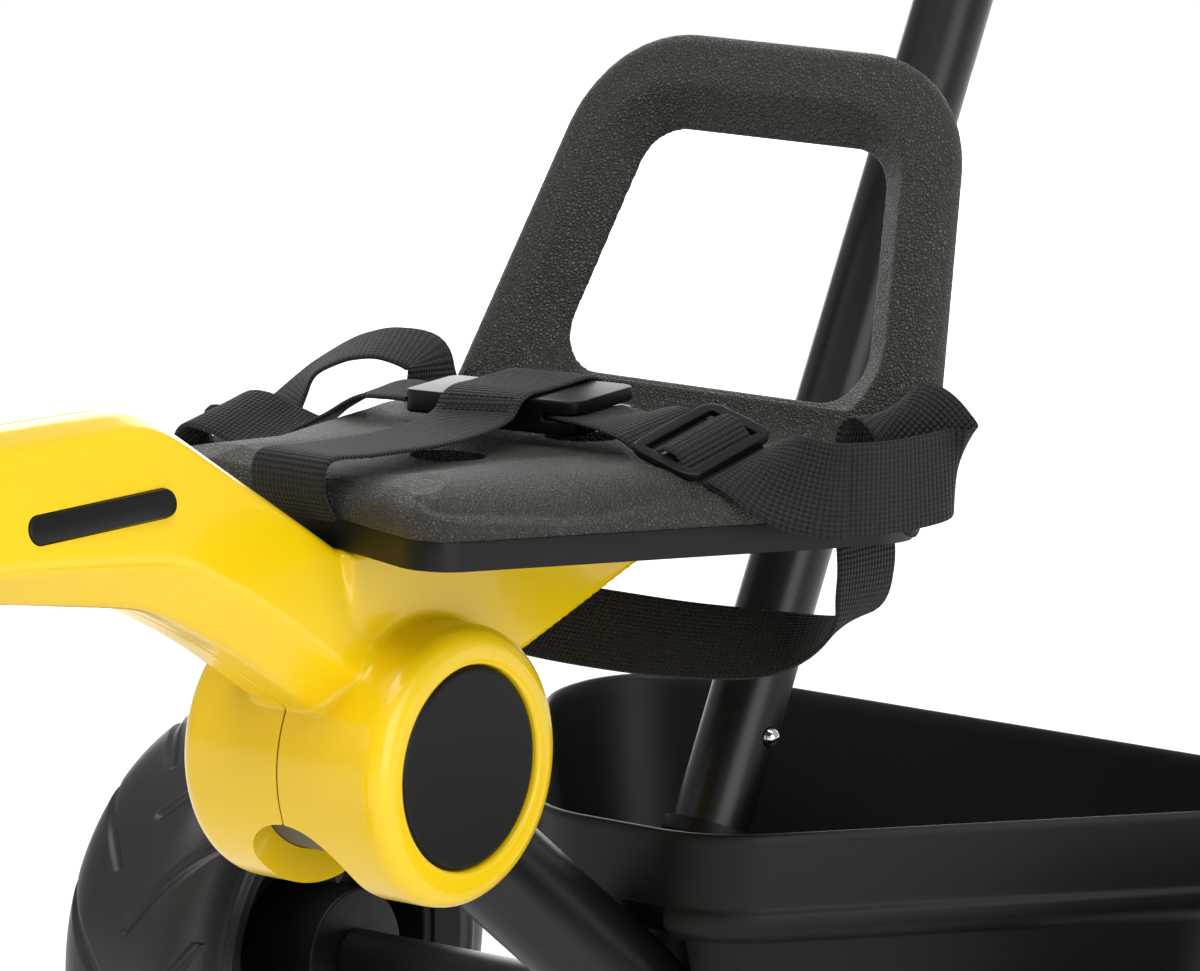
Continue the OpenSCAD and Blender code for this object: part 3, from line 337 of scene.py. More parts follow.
def rod(a, b, r, steps=64):
    a, b = np.asarray(a, float), np.asarray(b, float)
    return lathe([(0, r), (np.linalg.norm(b - a), r)], a, b - a, steps, True)


def merged(*parts):
    points, faces, at = [], [], 0
    for p, f in parts:
        points.append(np.asarray(p))
        faces += [tuple(k + at for k in face) for face in f]
        at += len(p)
    return np.concatenate(points), faces


def placed(name, mesh):
    mesh.name = name
    made = bpy.data.objects.new(name, mesh)
    scene.collection.objects.link(made)
    return made


def rawMesh(name, points, faces, origin=hub):
    mesh = bpy.data.meshes.new(name)
    mesh.from_pydata((np.asarray(points) * mm + np.array(origin)).tolist(), [], faces)
    return mesh


def turnedOut(mesh, doubles=0.0):
    work = bmesh.new()
    work.from_mesh(mesh)
    if doubles:
        bmesh.ops.remove_doubles(work, verts=work.verts, dist=doubles)
    bmesh.ops.recalc_face_normals(work, faces=work.faces)
    work.to_mesh(mesh)
    work.free()
    return mesh


def newObject(name, part):
    return placed(name, turnedOut(rawMesh(name, *part), 1e-7))


def vertexRows(mesh, what="co"):
    values = np.empty(len(mesh.vertices) * 3)
    mesh.vertices.foreach_get(what, values)
    return values.reshape(-1, 3)


def baked(piece):
    depsgraph = bpy.context.evaluated_depsgraph_get()
    mesh = bpy.data.meshes.new_from_object(piece.evaluated_get(depsgraph))
    piece.modifiers.clear()
    old = piece.data
    piece.data = mesh
    mesh.name = piece.name
    bpy.data.meshes.remove(old)
    return piece


def melt(piece, voxel, softening):
    remesh = piece.modifiers.new("skin", "REMESH")
    remesh.mode = "VOXEL"
    remesh.voxel_size = voxel * mm
    remesh.use_smooth_shade = True
    smooth = piece.modifiers.new("soft", "SMOOTH")
    smooth.factor = 0.5
    smooth.iterations = softening
    baked(piece)


def carve(piece, cutter):
    tool = piece.modifiers.new("carve", "BOOLEAN")
    tool.operation = "DIFFERENCE"
    tool.solver = "EXACT"
    tool.object = cutter
    baked(piece)
    bpy.data.objects.remove(cutter)


def cut(piece, part):
    carve(piece, newObject("cutter", part))


def shade(piece, angle=32):
    piece.data.shade_smooth()
    piece.data.set_sharp_from_angle(angle=radians(angle))
    return piece


def settle(piece, body, slot, *stoodFor):
    if not piece.data.materials:
        piece.data.materials.append(finishes[slot])
    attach(piece, body)
    if stoodFor:
        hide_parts(*stoodFor)


def refined(nodeName, pieceName, bevel):
    mesh = nodes[nodeName].data.copy()
    mesh.materials.clear()
    work = bmesh.new()
    work.from_mesh(mesh)
    bmesh.ops.remove_doubles(work, verts=work.verts, dist=1e-5)
    bmesh.ops.dissolve_limit(work, angle_limit=radians(0.4), verts=work.verts, edges=work.edges)
    limit = radians(28)                               # corners sharper than this are broken
    sharp = [e for e in work.edges if len(e.link_faces) == 2 and e.calc_face_angle(0) > limit]
    bmesh.ops.bevel(
        work, geom=sharp, offset=bevel * mm, offset_type="OFFSET", segments=3,
        profile=0.6, affect="EDGES", clamp_overlap=True)
    work.to_mesh(mesh)
    work.free()
    return shade(placed(pieceName, mesh))


# body: boom, hub barrel, wedge and head melted into one skin, then parted at the seam
body = {
    "boomWidth": 52, "boomTop": 34, "crown": 5, "cornerRadius": [7, 6, 5, 6],
    "stations": [                                     # along, top, widest and underside
        (-300, 134, 97, 86), (-200, 132.5, 96, 83), (-122, 130, 87, 69), (-80, 103.5, 64, 47),
        (-52, 86, 45, 28), (-30, 72, 30, 14), (-6, 58, 26, 6)],
    "ringStep": 4, "bendBlur": 9, "blurReach": 40, "fineSpan": (-420, 120),
    "barrelRadius": 48, "barrelHalf": 45, "barrelRound": 8,
    "capRadius": 35, "capFloor": 30, "capLip": [(-1.4, 0), (-0.4, 0.5), (0.2, 1.8), (9, 3)],
    "boreRadius": 36.3, "boreHalf": 27,
    "headRadius": 27, "headHalf": 37, "headBore": 18.1, "headBoreHalf": 60,
    "wedgeHalf": 22,
    "wedge": [(-34, 0, 2), (130, 0, 2), (130, -10, 3), (46, -46, 14), (20, -58, 8), (-28, -50, 8)],
    "seatBed": [(-150, -34.5), (150, -34.5), (150, 300), (-150, 300)], "bedHeights": (-0.2, 80.0),
    "legMouthHalf": 20.5, "legMouthReach": (30, 72), "legMouthSweep": 95, "legMouthRings": 40,
    "voxel": 1.4, "softening": 6, "seamHalf": 0.22, "seamLip": 0.9, "seamPush": 0.55,
}


def boomRing(y, top, mid, under):
    w, t = body["boomWidth"], body["boomTop"]
    half = [(t / 5, top + body["crown"]), (t / 2, top), (w / 2, mid), (w / 4, under)]
    outline = rounded(mirrored([(x, z, bend) for (x, z), bend in zip(half, body["cornerRadius"])]), 6)
    return np.stack([outline[:, 0], np.full(len(outline), y), outline[:, 1]], 1)


def alongHead(half, radius, steps):
    return rod(headAt - half * steerDir, headAt + half * steerDir, radius, steps)


def bodyForm():
    stations = np.array(body["stations"], float)
    ys = np.arange(stations[0, 0], stations[-1, 0] + 0.1, body["ringStep"])
    fineAlong = np.arange(*body["fineSpan"], 1.0)
    reach = np.arange(-body["blurReach"], body["blurReach"] + 1)
    blur = np.exp(-0.5 * (reach / body["bendBlur"]) ** 2)
    lines = []
    for column in (1, 2, 3):
        fine = np.interp(fineAlong, stations[:, 0], stations[:, column])
        smooth = np.convolve(fine, blur / blur.sum(), "same")
        lines.append(np.interp(ys, fineAlong, smooth))
    boom = loft([boomRing(*row) for row in zip(ys, *lines)])
    half, radius, edge = body["barrelHalf"], body["barrelRadius"], body["barrelRound"]
    corner = [(edge * sin(a), edge * cos(a)) for a in np.linspace(0, pi / 2, 9)]
    profile = [(-half + edge - c, radius - edge + s) for s, c in corner]
    profile += [(half - edge + c, radius - edge + s) for s, c in reversed(corner)]
    barrel = lathe(profile, (0, 0, 0), steps=160, caps=True)
    side = rounded(body["wedge"], 5)
    w = body["wedgeHalf"]
    wedge = loft([[seatPoint(x, y, z) for y, z in side] for x in (-w, w)])
    return merged(boom, barrel, wedge, alongHead(body["headHalf"], body["headRadius"], 120))


def legSweep():
    start, half = -layout["legAngle"], body["legMouthHalf"]
    end = start - body["legMouthSweep"]
    near, far = body["legMouthReach"]
    section = ((-half, near), (half, near), (half, far), (-half, far))
    rings = []
    for a in np.radians(np.linspace(start, end, body["legMouthRings"])):
        rings.append([(x, r * cos(a), r * sin(a)) for x, r in section])
    parts = [loft(rings)]
    for a in np.radians([start, end]):
        d = np.array([0, cos(a), sin(a)])
        parts.append(rod(near * d, far * d, half, 48))
    return parts


def trimOutline(length, height):
    r = height / 2
    run = length / 2 - r
    turn = np.linspace(-pi / 2, pi / 2, 17)
    right = [(run + r * cos(a), r * sin(a)) for a in turn]
    return np.array(right + [(-x, -y) for x, y in right])


trim = {
    "length": 70, "height": 9.5, "at": (-157, 106.5), "slope": 9 / 38, "facePlace": 131, "faceDrop": 36,
    "socketGap": 0.25, "socketDepths": (-6.4, 16), "plateDepths": (-5.9, 0.8), "plateEdge": 1.2,
}


def trimBlock(side, grow, depths, edge=0.0):
    y, z = trim["at"]
    low, high = depths
    flare = (body["boomWidth"] - body["boomTop"]) / 2
    faceX = body["boomTop"] / 2 + flare * (trim["facePlace"] - z) / trim["faceDrop"]
    middle = np.array([faceX, y, z])
    s = atan(trim["slope"])
    out = np.array([cos(s), 0, sin(s)])
    up = np.array([-sin(s), 0, cos(s)])
    levels = [(low, 0), (high, 0)]
    if edge:
        levels[1:] = [(high - edge, 0), (high - edge * 0.3, edge * 0.3), (high, edge)]
    rings = []
    for depth, shrink in levels:
        wider = 2 * grow - 2 * shrink
        outline = trimOutline(trim["length"] + wider, trim["height"] + wider)
        ring = middle + depth * out + np.outer(outline[:, 0], (0, 1, 0)) + np.outer(outline[:, 1], up)
        rings.append(ring * np.array([side, 1, 1]))
    return loft(rings)


def bodyHalf(whole, side):
    mesh = whole.data.copy()
    work = bmesh.new()
    work.from_mesh(mesh)
    seam = body["seamHalf"]
    for offset in (body["seamLip"], seam):
        bmesh.ops.bisect_plane(
            work, geom=work.verts[:] + work.edges[:] + work.faces[:], dist=1e-7,
            plane_co=(side * offset * mm, 0, 0), plane_no=(side, 0, 0), clear_inner=offset == seam)
    lip = [v for v in work.verts if abs(v.co.x * side - seam * mm) < 2e-6]
    work.normal_update()
    for v, normal in [(v, v.normal.copy()) for v in lip]:
        normal.x = 0
        if normal.length > 1e-6:
            v.co -= normal.normalized() * body["seamPush"] * mm
    work.to_mesh(mesh)
    work.free()
    return mesh


def makeBody():
    whole = newObject("bodyWhole", bodyForm())
    melt(whole, body["voxel"], body["softening"])
    cut(whole, loft([[seatPoint(x, y, z) for x, y in body["seatBed"]] for z in body["bedHeights"]]))
    end, r = body["barrelHalf"], body["capRadius"]
    mouth = [(body["capFloor"], r)] + [(end + a, r + b) for a, b in body["capLip"]]
    for side in (-1, 1):
        cut(whole, lathe([(side * a, b) for a, b in mouth], (0, 0, 0), steps=160, caps=True))
        cut(whole, trimBlock(side, trim["socketGap"], trim["socketDepths"]))
    cut(whole, rod((-body["boreHalf"], 0, 0), (body["boreHalf"], 0, 0), body["boreRadius"], 128))
    for part in legSweep():
        cut(whole, part)
    cut(whole, alongHead(body["headBoreHalf"], body["headBore"], 96))
    for side, name in sides:
        half = placed("bodyShell" + name, bodyHalf(whole, side))
        settle(shade(half, 50), "main", "yellow_shell", "shell_" + name.lower())
    bpy.data.objects.remove(whole)
    for side, name in sides:
        plate = newObject("slotTrim" + name, trimBlock(side, 0, trim["plateDepths"], trim["plateEdge"]))
        settle(shade(plate), "main", "black_gloss", "trim_" + name.lower())


makeBody()
print("body shells parted")


# seat: a saddle with a crest, falling flanks, a ledge and a hollow, under a back with a flared window
seat = {
    "plan": [(12, -33, 7), (72, -58, 14), (110, 148, 30), (106, 185, 28)], "planCount": 420,
    "top": 28, "ledgeWide": 8, "ledgeFall": (2.4, 2.4), "edgeRound": 0.9,
    "flankFall": 12.2, "flankWide": 36, "flankBow": 2.8,
    "crestHalf": 40, "crestBack": 28, "crestTurn": 30.5,
    "noseFrom": -20, "noseFall": 12, "hollowFrom": 136, "hollowSlope": 0.032,
    "rimInsets": (0.8, 2.5, 4.5, 6.4, 7.4, 8.2, 9.2), "spine": (-22, 120), "innerRings": 46,
    "foot": 107, "footRise": 30, "shoulder": (39, 124), "shoulderRadius": 48, "backCount": 480,
    "backEdge": [(13.0, 4.0), (12.2, 1.8), (10.4, 0.5), (6.0, 0.0), (3.2, 1.2), (0.9, 4.4), (0.0, 8.0)],
    "window": [(-71, 46, 18), (71, 46, 18), (53, 139, 18), (-53, 139, 18)], "windowMiddle": (0, 90),
    "windowEdge": [(0.0, -14.0), (0.6, -12.4), (8.8, -1.4), (10.2, 0.6), (12.0, 1.2), (13.0, 0.2)],
    "coveRadius": 20, "coveHalf": 88, "coveRoot": (6, 4),
    "screwAt": (40, 112), "recessRadius": 13, "recessHeights": (5, 60),
    "pressFrom": (106, 84), "pressFacing": 0.35,
    "slotAcross": 96, "slotSize": (6.0, 39.0), "slotHeights": (-20, 48),
    "voxel": 1.3, "softening": 5,
}
backFoot = seatPoint(0, layout["backAt"], 0)


def onBack(x, up, away):
    return backFoot + np.array([x, 0, 0]) + up * backUp + away * backAway


def runLength(points):
    steps = np.linalg.norm(np.diff(points, axis=0), axis=1)
    return np.concatenate([[0], np.cumsum(steps)])


def evenly(outline, count):
    closed = np.vstack([outline, outline[:1]])
    gone = runLength(closed)
    at = np.linspace(0, gone[-1], count, endpoint=False)
    return np.stack([np.interp(at, gone, closed[:, k]) for k in (0, 1)], 1)


def roundAbout(outline, middle, count):
    spread = evenly(np.asarray(outline, float), 2400) - np.array(middle)
    angle = np.arctan2(spread[:, 1], spread[:, 0])
    order = np.argsort(angle)
    turns = np.linspace(-pi, pi, count, endpoint=False)
    reach = np.interp(turns, angle[order], np.linalg.norm(spread, axis=1)[order], period=2 * pi)
    return np.array(middle) + np.stack([reach * np.cos(turns), reach * np.sin(turns)], 1)


def insideBy(points, outline):
    start, run = outline, np.roll(outline, -1, 0) - outline
    to = points[:, None, :] - start[None, :, :]
    share = np.clip(np.sum(to * run, 2) / np.maximum(np.sum(run * run, 1), 1e-9), 0, 1)
    return np.min(np.linalg.norm(to - share[:, :, None] * run, axis=2), axis=1)


def saddleHeight(points, plan):
    x, y = np.abs(points[:, 0]), points[:, 1]
    inside = insideBy(points, plan)
    turn = radians(seat["crestTurn"])
    across = x - seat["crestHalf"]
    rear = across * cos(turn) - (y - seat["crestBack"]) * sin(turn)
    beyond = np.maximum(np.minimum(across, rear), 0)
    room = beyond + inside - seat["ledgeWide"]
    share = np.clip(beyond / np.maximum(room, 0.5), 0, 1)
    fall = seat["flankFall"] * np.clip(room / seat["flankWide"], 0, 1)
    height = seat["top"] - fall * share ** seat["flankBow"]
    nose = seat["top"] - np.maximum(seat["noseFrom"] - y, 0) * tan(radians(seat["noseFall"]))
    ledge = np.clip(1 - inside / seat["ledgeWide"], 0, 1)
    slope, roll = seat["ledgeFall"]
    height = np.minimum(height, nose) - slope * ledge - roll * ledge ** 4
    depth = np.maximum(seat["hollowFrom"] - y, 0) * seat["hollowSlope"]
    return height - depth * np.clip(1 - (x / seat["crestHalf"]) ** 2, 0, 1)


def pressSaddle(piece, plan):                         # brings back the creases that the melt softened
    mesh = piece.data
    points = (vertexRows(mesh) - np.array(hub)) / mm
    facing = vertexRows(mesh, "normal") @ seatSky
    fromBed = points - (0, 0, layout["seatHeight"])
    flat = np.column_stack([points[:, 0], fromBed @ seatAhead])
    height = fromBed @ seatSky
    far, near = seat["pressFrom"]
    weight = np.clip((far - flat[:, 1]) / (far - near), 0, 1)
    weight *= (facing > seat["pressFacing"]) & (height > layout["panHeight"] + 0.8)
    chosen = np.nonzero(weight > 0)[0]
    weight[chosen] *= np.clip((insideBy(flat[chosen], plan) - 0.4) / 0.8, 0, 1)
    lift = np.zeros(len(points))
    lift[chosen] = (saddleHeight(flat[chosen], plan) - height[chosen]) * weight[chosen]
    points += lift[:, None] * seatSky
    mesh.vertices.foreach_set("co", (points * mm + np.array(hub)).ravel())
    mesh.update()


def saddleForm(plan):
    low, bend = layout["panHeight"], seat["edgeRound"]
    edge = saddleHeight(inset(plan, 0.4), plan)
    rings = [np.column_stack([inset(plan, bend), np.full(len(plan), low)])]
    rings.append(np.column_stack([plan, np.full(len(plan), low + bend)]))
    rings.append(np.column_stack([plan, np.maximum(edge - bend, low + 1.0)]))
    flats = [inset(plan, by) for by in seat["rimInsets"]]
    last = flats[-1]
    spine = np.column_stack([np.zeros(len(last)), np.clip(last[:, 1], *seat["spine"])])
    flats += [spine + share * (last - spine) for share in np.linspace(0.97, 0.01, seat["innerRings"])]
    rings += [np.column_stack([flat, saddleHeight(flat, plan)]) for flat in flats]
    return loft([[seatPoint(*p) for p in ring] for ring in rings])


def backForm():
    turn = np.radians(np.linspace(12, 90, 15))
    (sx, sy), sr = seat["shoulder"], seat["shoulderRadius"]
    side = [(sx + sr * cos(a), sy + sr * sin(a)) for a in turn]
    right = [(seat["foot"], 4), (seat["foot"], seat["footRise"])] + side
    around = (seat["windowMiddle"], seat["backCount"])
    outline = roundAbout(right + [(-x, y) for x, y in reversed(right)], *around)
    opening = roundAbout(rounded(seat["window"], 10), *around)
    rings = [[onBack(x, up, away) for x, up in inset(outline, by)] for away, by in seat["backEdge"]]
    rings += [[onBack(x, up, away) for x, up in inset(opening, by)] for away, by in seat["windowEdge"]]
    return loft(rings, loop=True)


def coveForm():
    top = seatPoint(0, 0, seat["top"] - 0.4)
    rise = (top - backFoot) @ seatSky / (backUp @ seatSky)
    corner = backFoot + rise * backUp
    gape = acos(float(-seatAhead @ backUp))
    radius, (behind, below) = seat["coveRadius"], seat["coveRoot"]
    run = radius / tan(gape / 2)
    middle = corner - run * seatAhead + radius * seatSky
    first, last = -seatSky, unit(corner + run * backUp - middle)
    cove = [corner + behind * backAway - below * seatSky, corner - run * seatAhead - below * seatSky]
    cove += [middle + radius * unit(first * (1 - k) + last * k) for k in np.linspace(0, 1, 9)]
    cove.append(corner + run * backUp + behind * backAway)
    return loft([[p + np.array([x, 0, 0]) for p in cove] for x in (-seat["coveHalf"], seat["coveHalf"])])


def makeSeat():
    plan = evenly(rounded(mirrored(seat["plan"]), 12), seat["planCount"])
    piece = newObject("seatShell", merged(saddleForm(plan), backForm(), coveForm()))
    melt(piece, seat["voxel"], seat["softening"])
    pressSaddle(piece, plan)
    floor, sky = seat["recessHeights"]
    for y in seat["screwAt"]:
        cut(piece, rod(seatPoint(0, y, floor), seatPoint(0, y, sky), seat["recessRadius"], 72))
    corners = oblong(*seat["slotSize"])
    for side in (-1, 1):
        x, y = side * seat["slotAcross"], layout["slotBack"]
        cut(piece, loft([[seatPoint(x + a, y + b, z) for a, b in corners] for z in seat["slotHeights"]]))
    settle(shade(piece, 40), "main", "grained_seat", "seat_shell")


makeSeat()
print("seat shell moulded")


# harness: flat webbing on eased routes, each row a place and the way its width runs
webbing = {
    "width": 32, "thickness": 1.6, "easing": 8,
    "glideAt": np.array([73.0, 87.5, 101.5]), "glideTurn": -2, "glideDrop": 15, "glideTilt": 15,
    "railOut": 12.75, "weaveOff": 2.9,
    "buckleAt": np.array([-1.0, 103.0, 103.2]), "buckleTurn": 8.5, "tongueReach": 53.3, "loopTop": 110.3,
    "tailGap": 1.9, "tailRows": (13.6, 16.9), "tailOutward": (0.6, -0.75, 0.25),
}
fittings = {
    "buckle_housing": ("buckleHousing", 1.4, "housing"),
    "buckle_tongue": ("buckleTongue", 1.0, "buckle"),
    "triglide": ("triglideRing", 0.9, "buckle"),
}
glideTurn, glideDrop = radians(webbing["glideTurn"]), radians(webbing["glideDrop"])
glideTilt, buckleTurn = radians(webbing["glideTilt"]), radians(webbing["buckleTurn"])
glideLevel = np.array([-sin(glideTurn), cos(glideTurn), 0])
glideRun = np.array([
    cos(glideTurn) * cos(glideDrop), sin(glideTurn) * cos(glideDrop), -sin(glideDrop)])
glideWide = cos(glideTilt) * glideLevel + sin(glideTilt) * np.cross(glideRun, glideLevel)
glideUp = np.cross(glideRun, glideWide)


def atGlide(along, off):
    return [*(webbing["glideAt"] + along * glideRun + off * glideUp), *glideWide]


def eased(route, steps):
    route = np.array(route, float)
    made = []
    for i in range(len(route) - 1):
        a, b, c, d = (route[min(max(k, 0), len(route) - 1)] for k in (i - 1, i, i + 1, i + 2))
        for t in np.arange(steps) / steps:
            made.append(0.5 * (2 * b + (c - a) * t + (2 * a - 5 * b + 4 * c - d) * t * t
                               + (3 * b - a - 3 * c + d) * t ** 3))
    return np.array(made + [route[-1]])


def bandFrames(path):
    places = path[:, :3]
    count = len(path)
    frames = []
    for i in range(count):
        along = unit(places[min(i + 1, count - 1)] - places[max(i - 1, 0)])
        up = unit(np.cross(along, unit(path[i, 3:])))
        frames.append((np.cross(up, along), up))
    return frames


def strapPiece(name, path, *stoodFor):
    places = path[:, :3]
    half, thick = webbing["width"] / 2, webbing["thickness"] / 2
    edge = np.linspace(-pi / 2, pi / 2, 5)
    section = [(half - thick + thick * cos(a), thick * sin(a)) for a in edge]
    section += [(s, thick) for s in np.linspace(half - thick, -half + thick, 9)[1:-1]]
    section += [(-s, -h) for s, h in section]
    rings = []
    for place, (wide, up) in zip(places, bandFrames(path)):
        rings.append([place + s * wide + h * up for s, h in section])
    gone = runLength(places)
    mesh = rawMesh(name, *loft(rings))
    layer = mesh.uv_layers.new(name="weave")
    for loop in mesh.loops:
        row, column = divmod(loop.vertex_index, len(section))
        layer.data[loop.index].uv = (gone[row], section[column][0])
    piece = placed(name, turnedOut(mesh))
    settle(shade(piece, 50), "main", "webbing", *stoodFor)
def atTongue(before):
    run = np.array([cos(buckleTurn), sin(buckleTurn), 0])
    place = webbing["buckleAt"] - (webbing["tongueReach"] + before) * run
    return [*place, sin(buckleTurn), -cos(buckleTurn), 0]


def lapLeftRoute():
    x, y = seat["slotAcross"], layout["slotBack"]
    out, off = webbing["railOut"], webbing["weaveOff"]
    weave = [
        (out + 4, -1), (out, -1), (0.78 * out, -0.9), (0.5 * out, 0), (0.22 * out, 0.9), (0, 1),
        (-0.22 * out, 0.9), (-0.5 * out, 0), (-0.78 * out, -0.9), (-out, -1), (-out - 4.5, -1)]
    return [
        (x, y, 72, 0, 1, 0), (x, y, 84, 0, 1, 0), (x, y, 94, 0, 1, 0), (97.5, 148.6, 101, 0.08, 0.99, 0),
        (102, 149.6, 105.5, 0.2, 0.95, 0.15), (109, 151, 106, 0.35, 0.82, 0.4),
        (116, 152.8, 102, 0.48, 0.58, 0.65), (122, 154.8, 96.5, 0.5, 0.3, 0.8),
        (127, 156, 92, 0.45, 0.1, 0.9), (130.5, 154, 89.5, 0.25, 0, 0.97),
        (131, 148.5, 88.3, 0.05, 0, 1), (129.5, 139, 87.5, 0, 0, 1),
        (126.5, 125.5, 87, 0, 0.02, 1), (122.5, 112, 87.3, 0, 0.05, 1), (116.5, 100, 88.2, 0, 0.15, 0.98),
        (108, 91.5, 91, 0, 0.42, 0.9), (97, 87.6, 93.6, 0.05, 0.85, 0.45),
        *[atGlide(along, off * side) for along, side in weave],
        (49, 89.6, 105.2, 0.12, 0.97, 0.2), (39, 92.2, 105, 0.22, 0.96, 0.1),
        (30, 95.2, 103.5, 0.28, 0.95, 0), (21, 98, 103.2, 0.28, 0.96, 0), (12, 100.8, 103.2, 0.28, 0.96, 0)]


def lapRightRoute():
    x, y = -seat["slotAcross"], layout["slotBack"]
    return [
        (x, y, 72, 0, -1, 0), (x, y, 93, 0.1, -1, -0.1), (x - 3, y, 104, 0.35, -0.9, -0.25),
        (-110, 142, 108, 0.45, -0.88, -0.18), (-119, 137, 107, 0.5, -0.86, -0.12),
        (-126, 133, 104, 0.52, -0.85, -0.08), (-133, 129, 99, 0.61, -0.79, 0),
        (-138, 125, 92, 0.75, -0.66, 0), (-142, 119, 84, 0.87, -0.49, 0), (-146, 110, 77, 0.9, -0.4, 0),
        (-150, 99, 72.5, 0.75, -0.62, -0.1), (-153, 91, 76, 0.35, -0.9, -0.2),
        (-150, 87, 84, 0, -0.96, -0.25), (-143, 86, 88.5, -0.2, -0.94, -0.27),
        (-133, 86, 88.5, -0.24, -0.93, -0.27), (-119, 87, 85, -0.2, -0.95, -0.25),
        (-107, 89, 84.5, -0.1, -0.97, -0.2), (-97, 90.5, 90.5, 0, -0.98, -0.16),
        (-87, 92, 96, 0.1, -0.98, -0.12), (-74, 93.2, 102.2, 0.148, -0.989, -0.03),
        atTongue(8), atTongue(0)]


def crotchRoute():
    top = webbing["loopTop"]
    level, turned = (1, 0, 0), (0.989, 0.148, 0)
    return [
        (0, -35, 86, *level), (0, -40.5, 96, *level), (0, -37, 106, *level), (0, -15, 105, *level),
        (-2, 18, 103, *level), (-6, 46, 102.5, *level), (-10, 66, 104, 0.99, 0.1, 0),
        (-12, 74.5, top - 1.5, *turned), (-13.5, 82, top + 0.2, *turned), (-15, 92, top, *turned),
        (-17, 106, top, *turned), (-19, 120, top, *turned), (-21, 130, top - 3, *turned),
        (-21.5, 133, top - 9, *turned)]


def underRoute():
    x, y = seat["slotAcross"], layout["slotBack"]
    near = [
        (x, y, 70.4, 0, 1, 0), (x + 1, y, 50, 0, 1, 0.1), (x - 4, 146, 34, 0, 1, 0.25),
        (72, 138, 24, 0.1, 0.85, 0.5), (38, 128, 22, 0, 0.75, 0.66)]
    far = [(-px, py, pz, -a, b, c) for px, py, pz, a, b, c in reversed(near)]
    return near + [(0, 124, 22, 0, 0.7, 0.7)] + far


def makeHarness():
    steps = webbing["easing"]
    lapLeft = eased(lapLeftRoute(), steps)
    strapPiece("lapStrapLeft", lapLeft, "strap_lap_left")
    strapPiece("lapStrapRight", eased(lapRightRoute(), steps), "strap_lap_right")
    strapPiece("crotchStrap", eased(crotchRoute(), steps), "strap_crotch")
    strapPiece("underStrap", eased(underRoute(), steps), "strap_under")
    first, last = webbing["tailRows"]                 # route rows between which the loose tail lies
    tail = lapLeft[int(first * steps):int(last * steps)].copy()
    outward = np.array(webbing["tailOutward"])
    for row, (wide, up) in zip(tail, bandFrames(tail)):
        row[:3] += webbing["tailGap"] * up * (1 if up @ outward > 0 else -1)
    strapPiece("lapStrapTail", tail)
    for nodeName, (name, bevel, finish) in fittings.items():
        fitting = refined(nodeName, name, bevel)
        fitting.data.materials.append(finishes[finish])
        settle(fitting, "main", slotOf[nodeName], nodeName)


makeHarness()
print("harness laid")


# tyres: a rounded crown with narrow slanted grooves pressed into both shoulders
rearTyre = {
    "radius": 94, "width": 70, "inner": 58, "round": 22, "turns": 620, "pitchCount": 13, "slant": -46,
    "from": 5, "to": 37, "grooveHalf": 1.9, "grooveDepth": 1.3, "ridge": 0.9, "ridgeAt": 47}
frontTyre = {
    "radius": 120, "width": 46, "inner": 90, "round": 10, "turns": 700, "pitchCount": 24, "slant": -22,
    "from": 4, "to": 20, "grooveHalf": 1.6, "grooveDepth": 1.1, "ridge": 0.6, "ridgeAt": 33}
def tyrePiece(name, plan, centre, mirror, rider, stoodFor):
    r, half, inner, bend = plan["radius"] - 0.2, plan["width"] / 2, plan["inner"], plan["round"]
    quarter = np.linspace(0, pi / 2, 12)
    corner = [(-half + bend - bend * cos(a), r - bend + bend * sin(a)) for a in quarter]
    outer = [(-half + 6, inner + 0.3), (-half, inner + 8)] + corner + [(0, r + 0.25)]
    outer += [(-a, rr) for a, rr in reversed(corner)] + [(half, inner + 8), (half - 6, inner + 0.3)]
    outer = np.array(outer)
    lengths = runLength(outer)
    samples = np.linspace(0, lengths[-1], int(lengths[-1] / 1.05))
    across = np.interp(samples, lengths, outer[:, 0])
    radius = np.interp(samples, lengths, outer[:, 1])
    along = np.gradient(np.stack([across, radius], 1), axis=0)
    normal = np.stack([-along[:, 1], along[:, 0]], 1) / np.linalg.norm(along, axis=1)[:, None]
    v = samples - lengths[-1] / 2
    pitch = 2 * pi * r / plan["pitchCount"]
    turns = np.linspace(0, 2 * pi, plan["turns"], endpoint=False)
    u = turns * r
    lift = np.zeros((plan["turns"], len(v)))
    slant, climb = plan["slant"], plan["to"] - plan["from"]
    for side in (-1, 1):
        shifted = u + (pitch / 2 if side > 0 else 0)
        near = np.full(lift.shape, 1e3)
        for k in (-1, 0, 1):
            du = (shifted % pitch)[:, None] - k * pitch
            dv = (v * side)[None, :] - plan["from"]
            t = np.clip((du * slant + dv * climb) / (slant ** 2 + climb ** 2), 0, 1)
            near = np.minimum(near, np.hypot(du - t * slant, dv - t * climb))
        fall = np.clip((plan["grooveHalf"] + 0.35 - near) / 0.9, 0, 1)
        lift -= plan["grooveDepth"] * fall * fall * (3 - 2 * fall)
        lift += plan["ridge"] * np.exp(-((v * side - plan["ridgeAt"]) / 1.3) ** 2)[None, :]
    offset = across + lift * normal[:, 0]
    reach = radius + lift * normal[:, 1]
    rings = np.stack([mirror * offset, reach * np.cos(turns)[:, None], reach * np.sin(turns)[:, None]], 2)
    piece = newObject(name, loft(list(np.array(centre) + rings), loop=True))
    settle(shade(piece, 45), rider, "tyre", stoodFor)


for side, name in sides:
    axleEnd = (side * layout["trackHalf"], layout["axleBack"], -layout["axleDrop"])
    tyrePiece("tyre" + name, rearTyre, axleEnd, side, "wheel_" + name.lower(), "tyre_" + name.lower())
tyrePiece("tyreFront", frontTyre, frontAxle, 1, "front_wheel", "tyre_front")
print("tyres grooved")


